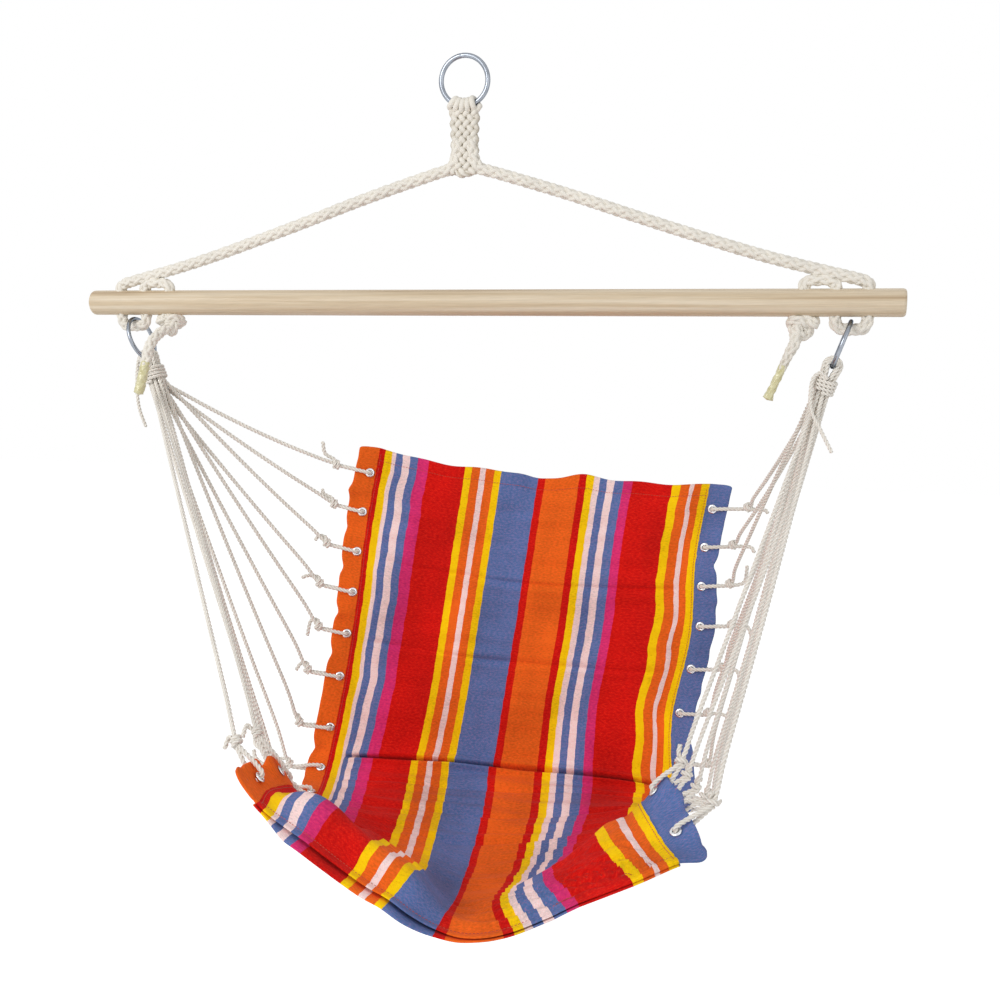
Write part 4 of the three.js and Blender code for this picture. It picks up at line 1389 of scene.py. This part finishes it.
# %% Eyelets
# The outline of one eyelet, radius and height in millimetres: barrel, domed flange in front,
# and the washer that the barrel is rolled over behind.
inside = hem_thickness / 2 + eyelet_gap
eyelet_outline = [
    (3.05, -inside - 0.2),
    (3.05, inside + 0.2),
    (3.5, inside + 0.95),
    (4.3, inside + 1.15),
    (5.2, inside + 0.85),
    (5.95, inside + 0.3),
    (6.3, inside - 0.1),
    (6.15, inside - 0.35),
    (3.8, inside - 0.15),
    (3.7, -inside + 0.1),
    (6.1, -inside + 0.1),
    (6.3, -inside - 0.15),
    (5.2, -inside - 0.6),
    (3.8, -inside - 0.8),
]
for side, sign in sides.items():
    for index in range(len(eyelet_shares)):
        spot, _, _, normal = eyelet_seat(sign, index)
        eyelet = bmesh.new()
        outline = [eyelet.verts.new((r * MM, 0, z * MM)) for r, z in eyelet_outline]
        for one, other in zip(outline, outline[1:] + outline[:1]):
            eyelet.edges.new((one, other))
        spin_round(eyelet, (0, 0, 1), 28)
        bmesh.ops.recalc_face_normals(eyelet, faces=eyelet.faces)
        bmesh.ops.transform(eyelet, matrix=facing(spot, normal), verts=eyelet.verts)
        name = f"{side}_{index + 1:02d}"
        finished(f"pressed_eyelet_{name}", eyelet, nickel, "seat", [f"eyelet_{name}"])
print("eyelets", 2 * len(eyelet_shares))

# %% [markdown]
# ## The two fans of cord
# Seven cords hang on each small ring. Each one is laid over the ring's wire at its middle, its
# two legs run down to two neighbouring eyelets, and each end goes through its eyelet, comes
# back round the hem's edge and is tied round its own leg. A whipping holds all 14 legs
# together under the ring.

# %% Places in the fan
# Seven cords would need 35 mm of the ring's wire side by side. Real ones crowd together: every
# other cord lies on top of its neighbours, and the whipping pulls the legs into a round bundle.
cord_diameter, cords_per_side = 4.6, 7
cord_radius = cord_diameter / 2
crowded_pitch, near_row, far_row = 2.9, 2.3, 6.5
whipping_cord, whipping_turns, whipping_pitch = 4.2, 4, 4.1
# Soft yarn looks a little fuller than its measured thickness.
cord_fullness, cord_lay, whipping_fullness, whipping_lay = 1.2, 16, 1.1, 14
whipping_top = small_mid + 13.5
fan_start = whipping_top + whipping_turns * whipping_pitch + cord_diameter
knot_nearest, knot_furthest, sag = 14, 25, 5
rng = np.random.default_rng(7)
print("cords part", round(fan_start, 1), "mm below the small ring's middle")


def in_harness(side_frame, down_by, y, inboard_by):
    """A place measured from the middle of one side's small ring."""
    down, inboard, centre = side_frame
    return centre + down * down_by + inboard * inboard_by + np.array([0, y, 0])


def bundle_place(index):
    """How far forward and how far from the middle one cord's legs lie in the bundle."""
    row = near_row if index % 2 == 0 else far_row
    return ((cords_per_side - 1) / 2 - index) * crowded_pitch, row


# %% From the loose tail through knot and eyelet
def knot_turns(knot, axis, start_way, turns, first):
    """Turns of a cord's end round its own leg, the first a little way along from the knot."""
    across = np.cross(axis, start_way)
    angle = np.linspace(0, 2 * math.pi * turns, int(turns * 10) + 1)
    radius, pitch = cord_diameter * 0.94, cord_diameter * 0.98
    return [
        knot
        + axis * (first + pitch * a / (2 * math.pi))
        + (start_way * math.cos(a) + across * math.sin(a)) * radius
        for a in angle
    ]


def cord_end(sign, index, head):
    """Points from the tail's tip to the foot of the leg, the knot and the knot's axis."""
    spot, edge, out, normal = eyelet_seat(sign, index)
    knot = edge + out * rng.uniform(knot_nearest, knot_furthest)
    leg_way = unit(head - knot)
    axis = unit(leg_way * 0.75 + out * 0.5)
    side_way = np.cross(out, normal)
    lift = hem_thickness / 2 + eyelet_gap + eyelet_wall + 0.8 + cord_radius
    pair = cord_radius + 0.1
    # From the knot behind the hem's edge, up through the eyelet and back over the edge.
    there = [
        knot - normal * pair - out * 3,
        edge - normal * (lift - 1.2) - out * 2,
        spot + out * (cord_radius + 2.2) - normal * (lift + 0.3),
        spot + out * 0.7 - normal * (lift - 1.2),
        spot,
        spot + out * 0.7 + normal * (lift - 1.2),
        spot + out * (cord_radius + 2.2) + normal * (lift + 0.5),
        edge + normal * (lift - 1.2) - out * 2,
        knot + normal * 0.6,
    ]
    start_way = unit(-normal - axis * np.dot(-normal, axis))
    # On the seat at the sitter's left the knots are smaller and the tails are cut short.
    turns = knot_turns(knot, axis, start_way, 1.25 if sign > 0 and index > 7 else 1.75, 1.5)
    leaving = unit(turns[-1] - turns[-2])
    length, swing, rise = rng.uniform(22, 40), rng.uniform(-0.9, 0.9), rng.uniform(-0.5, 1.0)
    if sign > 0 and index > 5:
        length *= 0.45
    below = np.array([0, 0, -1.0])
    # The loose tail leaves the last turn and hangs, each one another way.
    tip = [
        turns[-1] + leaving * 5 + out * 2,
        turns[-1] + leaving * 6 + (out * 0.7 + below * 0.3 * rise + side_way * swing * 0.3) * length * 0.5,
        turns[-1] + leaving * 5 + (out * 0.5 + below * 0.85 * rise + side_way * swing * 0.7) * length,
    ]
    return [*tip[::-1], *turns[::-1], *there], knot, axis


# %% One cord
def harness_cord(side, sign, index):
    """One cord from a loose tail over the small ring to the other tail, and its middle line."""
    side_frame = harness_frame(sign)
    y, row = bundle_place(index)
    wire_bottom = small_mid * math.cos(math.asin(y / small_mid))
    reach = small_wire / 2 + 0.5 + cord_radius + (0 if index % 2 == 0 else 0.8 * cord_diameter)
    # The middle of the cord goes over the ring's wire in half a turn.
    bight = [
        in_harness(side_frame, wire_bottom - reach * math.sin(a), y, reach * math.cos(a))
        for a in np.linspace(0, math.pi, 9)
    ]
    ends = []
    for end_index, way in ((2 * index, 1), (2 * index + 1, -1)):
        head = in_harness(side_frame, fan_start, y * 1.1, way * row * 1.1)
        foot, knot, axis = cord_end(sign, end_index, head)
        leg_way = unit(head - knot)
        aside = unit(np.cross(leg_way, np.array([0, 0, 1.0]))) * rng.uniform(-3.5, 3.5)
        slack = np.array([0, 0, -4 * sag * rng.uniform(0.7, 1.5)])
        leg = [knot + axis * 9 + leg_way * 3]
        for share in (0.12, 0.3, 0.5, 0.7, 0.88):
            bent = slack * share * (1 - share) + aside * math.sin(math.pi * share)
            leg.append(knot + (head - knot) * share + bent)
        leg.append(head)
        for down_by in (fan_start - 9, whipping_top + 5):
            leg.append(in_harness(side_frame, down_by, y, way * row))
        ends.append(foot + leg)
    line = smooth_line(ends[0] + bight + ends[1][::-1], 1.4)
    tube = swept(line, cord_radius * cord_fullness, three_strands(), lay=cord_lay)
    name, node = f"fan_cord_{side}_{index + 1}", f"harness_cord_{side}_{index + 1}"
    return rope_piece(name, [tube], cotton_cord, "seat", [node]), line


cord_lengths = {}
for side, sign in sides.items():
    for index in range(cords_per_side):
        piece, line = harness_cord(side, sign, index)
        cord_lengths[piece.name] = round(arc_lengths(line)[-1])
print("cord lengths in mm", cord_lengths)

# %% Whippings
# Each whipping is one more cord. Its start hangs out of the top of the turns: outboard of the
# ring on the left, and down the inboard side of the bundle on the right.
whipping_tails = {
    "left": [(-8, -3, -86), (-16, -4, -60), (-17, -5, -28), (-13, -5, 0), (-8, -7, 1)],
    "right": [(4, -46, -88), (-9, -38, -64), (-20, -25, -42), (-20, -15, -14), (-12, -13, -4)],
}
whipping_lengths = {}
for side, sign in sides.items():
    side_frame = harness_frame(sign)
    grow = cord_radius + 0.3 + whipping_cord / 2
    half_y, half_in = bundle_place(0)[0] + grow, far_row + grow
    steps_each = 40
    turn = 2 * math.pi * np.arange(whipping_turns * steps_each + 1) / steps_each
    squareness = 0.75
    winding = [
        in_harness(
            side_frame,
            whipping_top + whipping_pitch * a / (2 * math.pi),
            -half_y * np.sign(math.cos(a)) * abs(math.cos(a)) ** squareness,
            half_in * np.sign(math.sin(a)) * abs(math.sin(a)) ** squareness,
        )
        for a in turn
    ]
    ring_bottom = side_frame[2] + side_frame[0] * (small_mid + small_wire / 2)
    tail = [ring_bottom + np.array(step) for step in whipping_tails[side]]
    lead = smooth_line([*tail, winding[0], winding[3]], 1.2)
    line = evenly(np.vstack([lead[:-1], winding[3:]]), 1.2)
    tube = swept(line, whipping_cord / 2 * whipping_fullness, three_strands(), lay=whipping_lay)
    rope_piece(f"whipping_cord_{side}", [tube], cotton_cord, "seat", [f"whipping_{side}"])
    whipping_lengths[side] = round(arc_lengths(line)[-1])
print("whipping lengths in mm", whipping_lengths)

# %% [markdown]
# ## Stitching
# A row of red thread holds each side hem, and one row runs along the top and the front.
# Each stitch is a short thread that dips into the cloth at both ends.

# %% Stitches
stitch_pitch, stitch_length, stitch_rise, thread_radius = 3.6, 2.9, 0.6, 0.34


def stitch_row(u, v, height):
    """Stitches along a line on the cloth, given as arrays of u and v."""
    place, _, _, normal = cloth_frame(u, v)
    raised = place + normal * height[:, None]
    reached = arc_lengths(raised)
    starts = np.arange(2, reached[-1] - stitch_length, stitch_pitch)
    tubes = []
    for begin in starts:
        wanted = begin + stitch_length * np.array([0, 0.25, 0.5, 0.75, 1])
        dip = np.array([-0.5, 0.15, 0.3, 0.15, -0.5])
        spots, ups = picked(wanted, reached, raised), picked(wanted, reached, normal)
        tubes.append(swept(spots + ups * dip[:, None], thread_radius, round_section(6)))
    return tubes


fine = np.linspace(0.006, 0.994, 500)
stitches = []
for sign in sides.values():
    u = np.full_like(fine, hem_u(sign, hem_width + 2.5))
    stitches += stitch_row(u, fine, front_face(u, fine) + stitch_rise)
crosswise = np.linspace(seam + 0.004, 1 - seam - 0.004, 300)
for distance in (end_hem, cloth_length - end_hem):
    v = np.full_like(crosswise, distance / cloth_length)
    stitches += stitch_row(crosswise, v, front_face(crosswise, v) + stitch_rise)
rope_piece("hem_stitches", stitches, thread, "seat")
print("stitches", len(stitches))
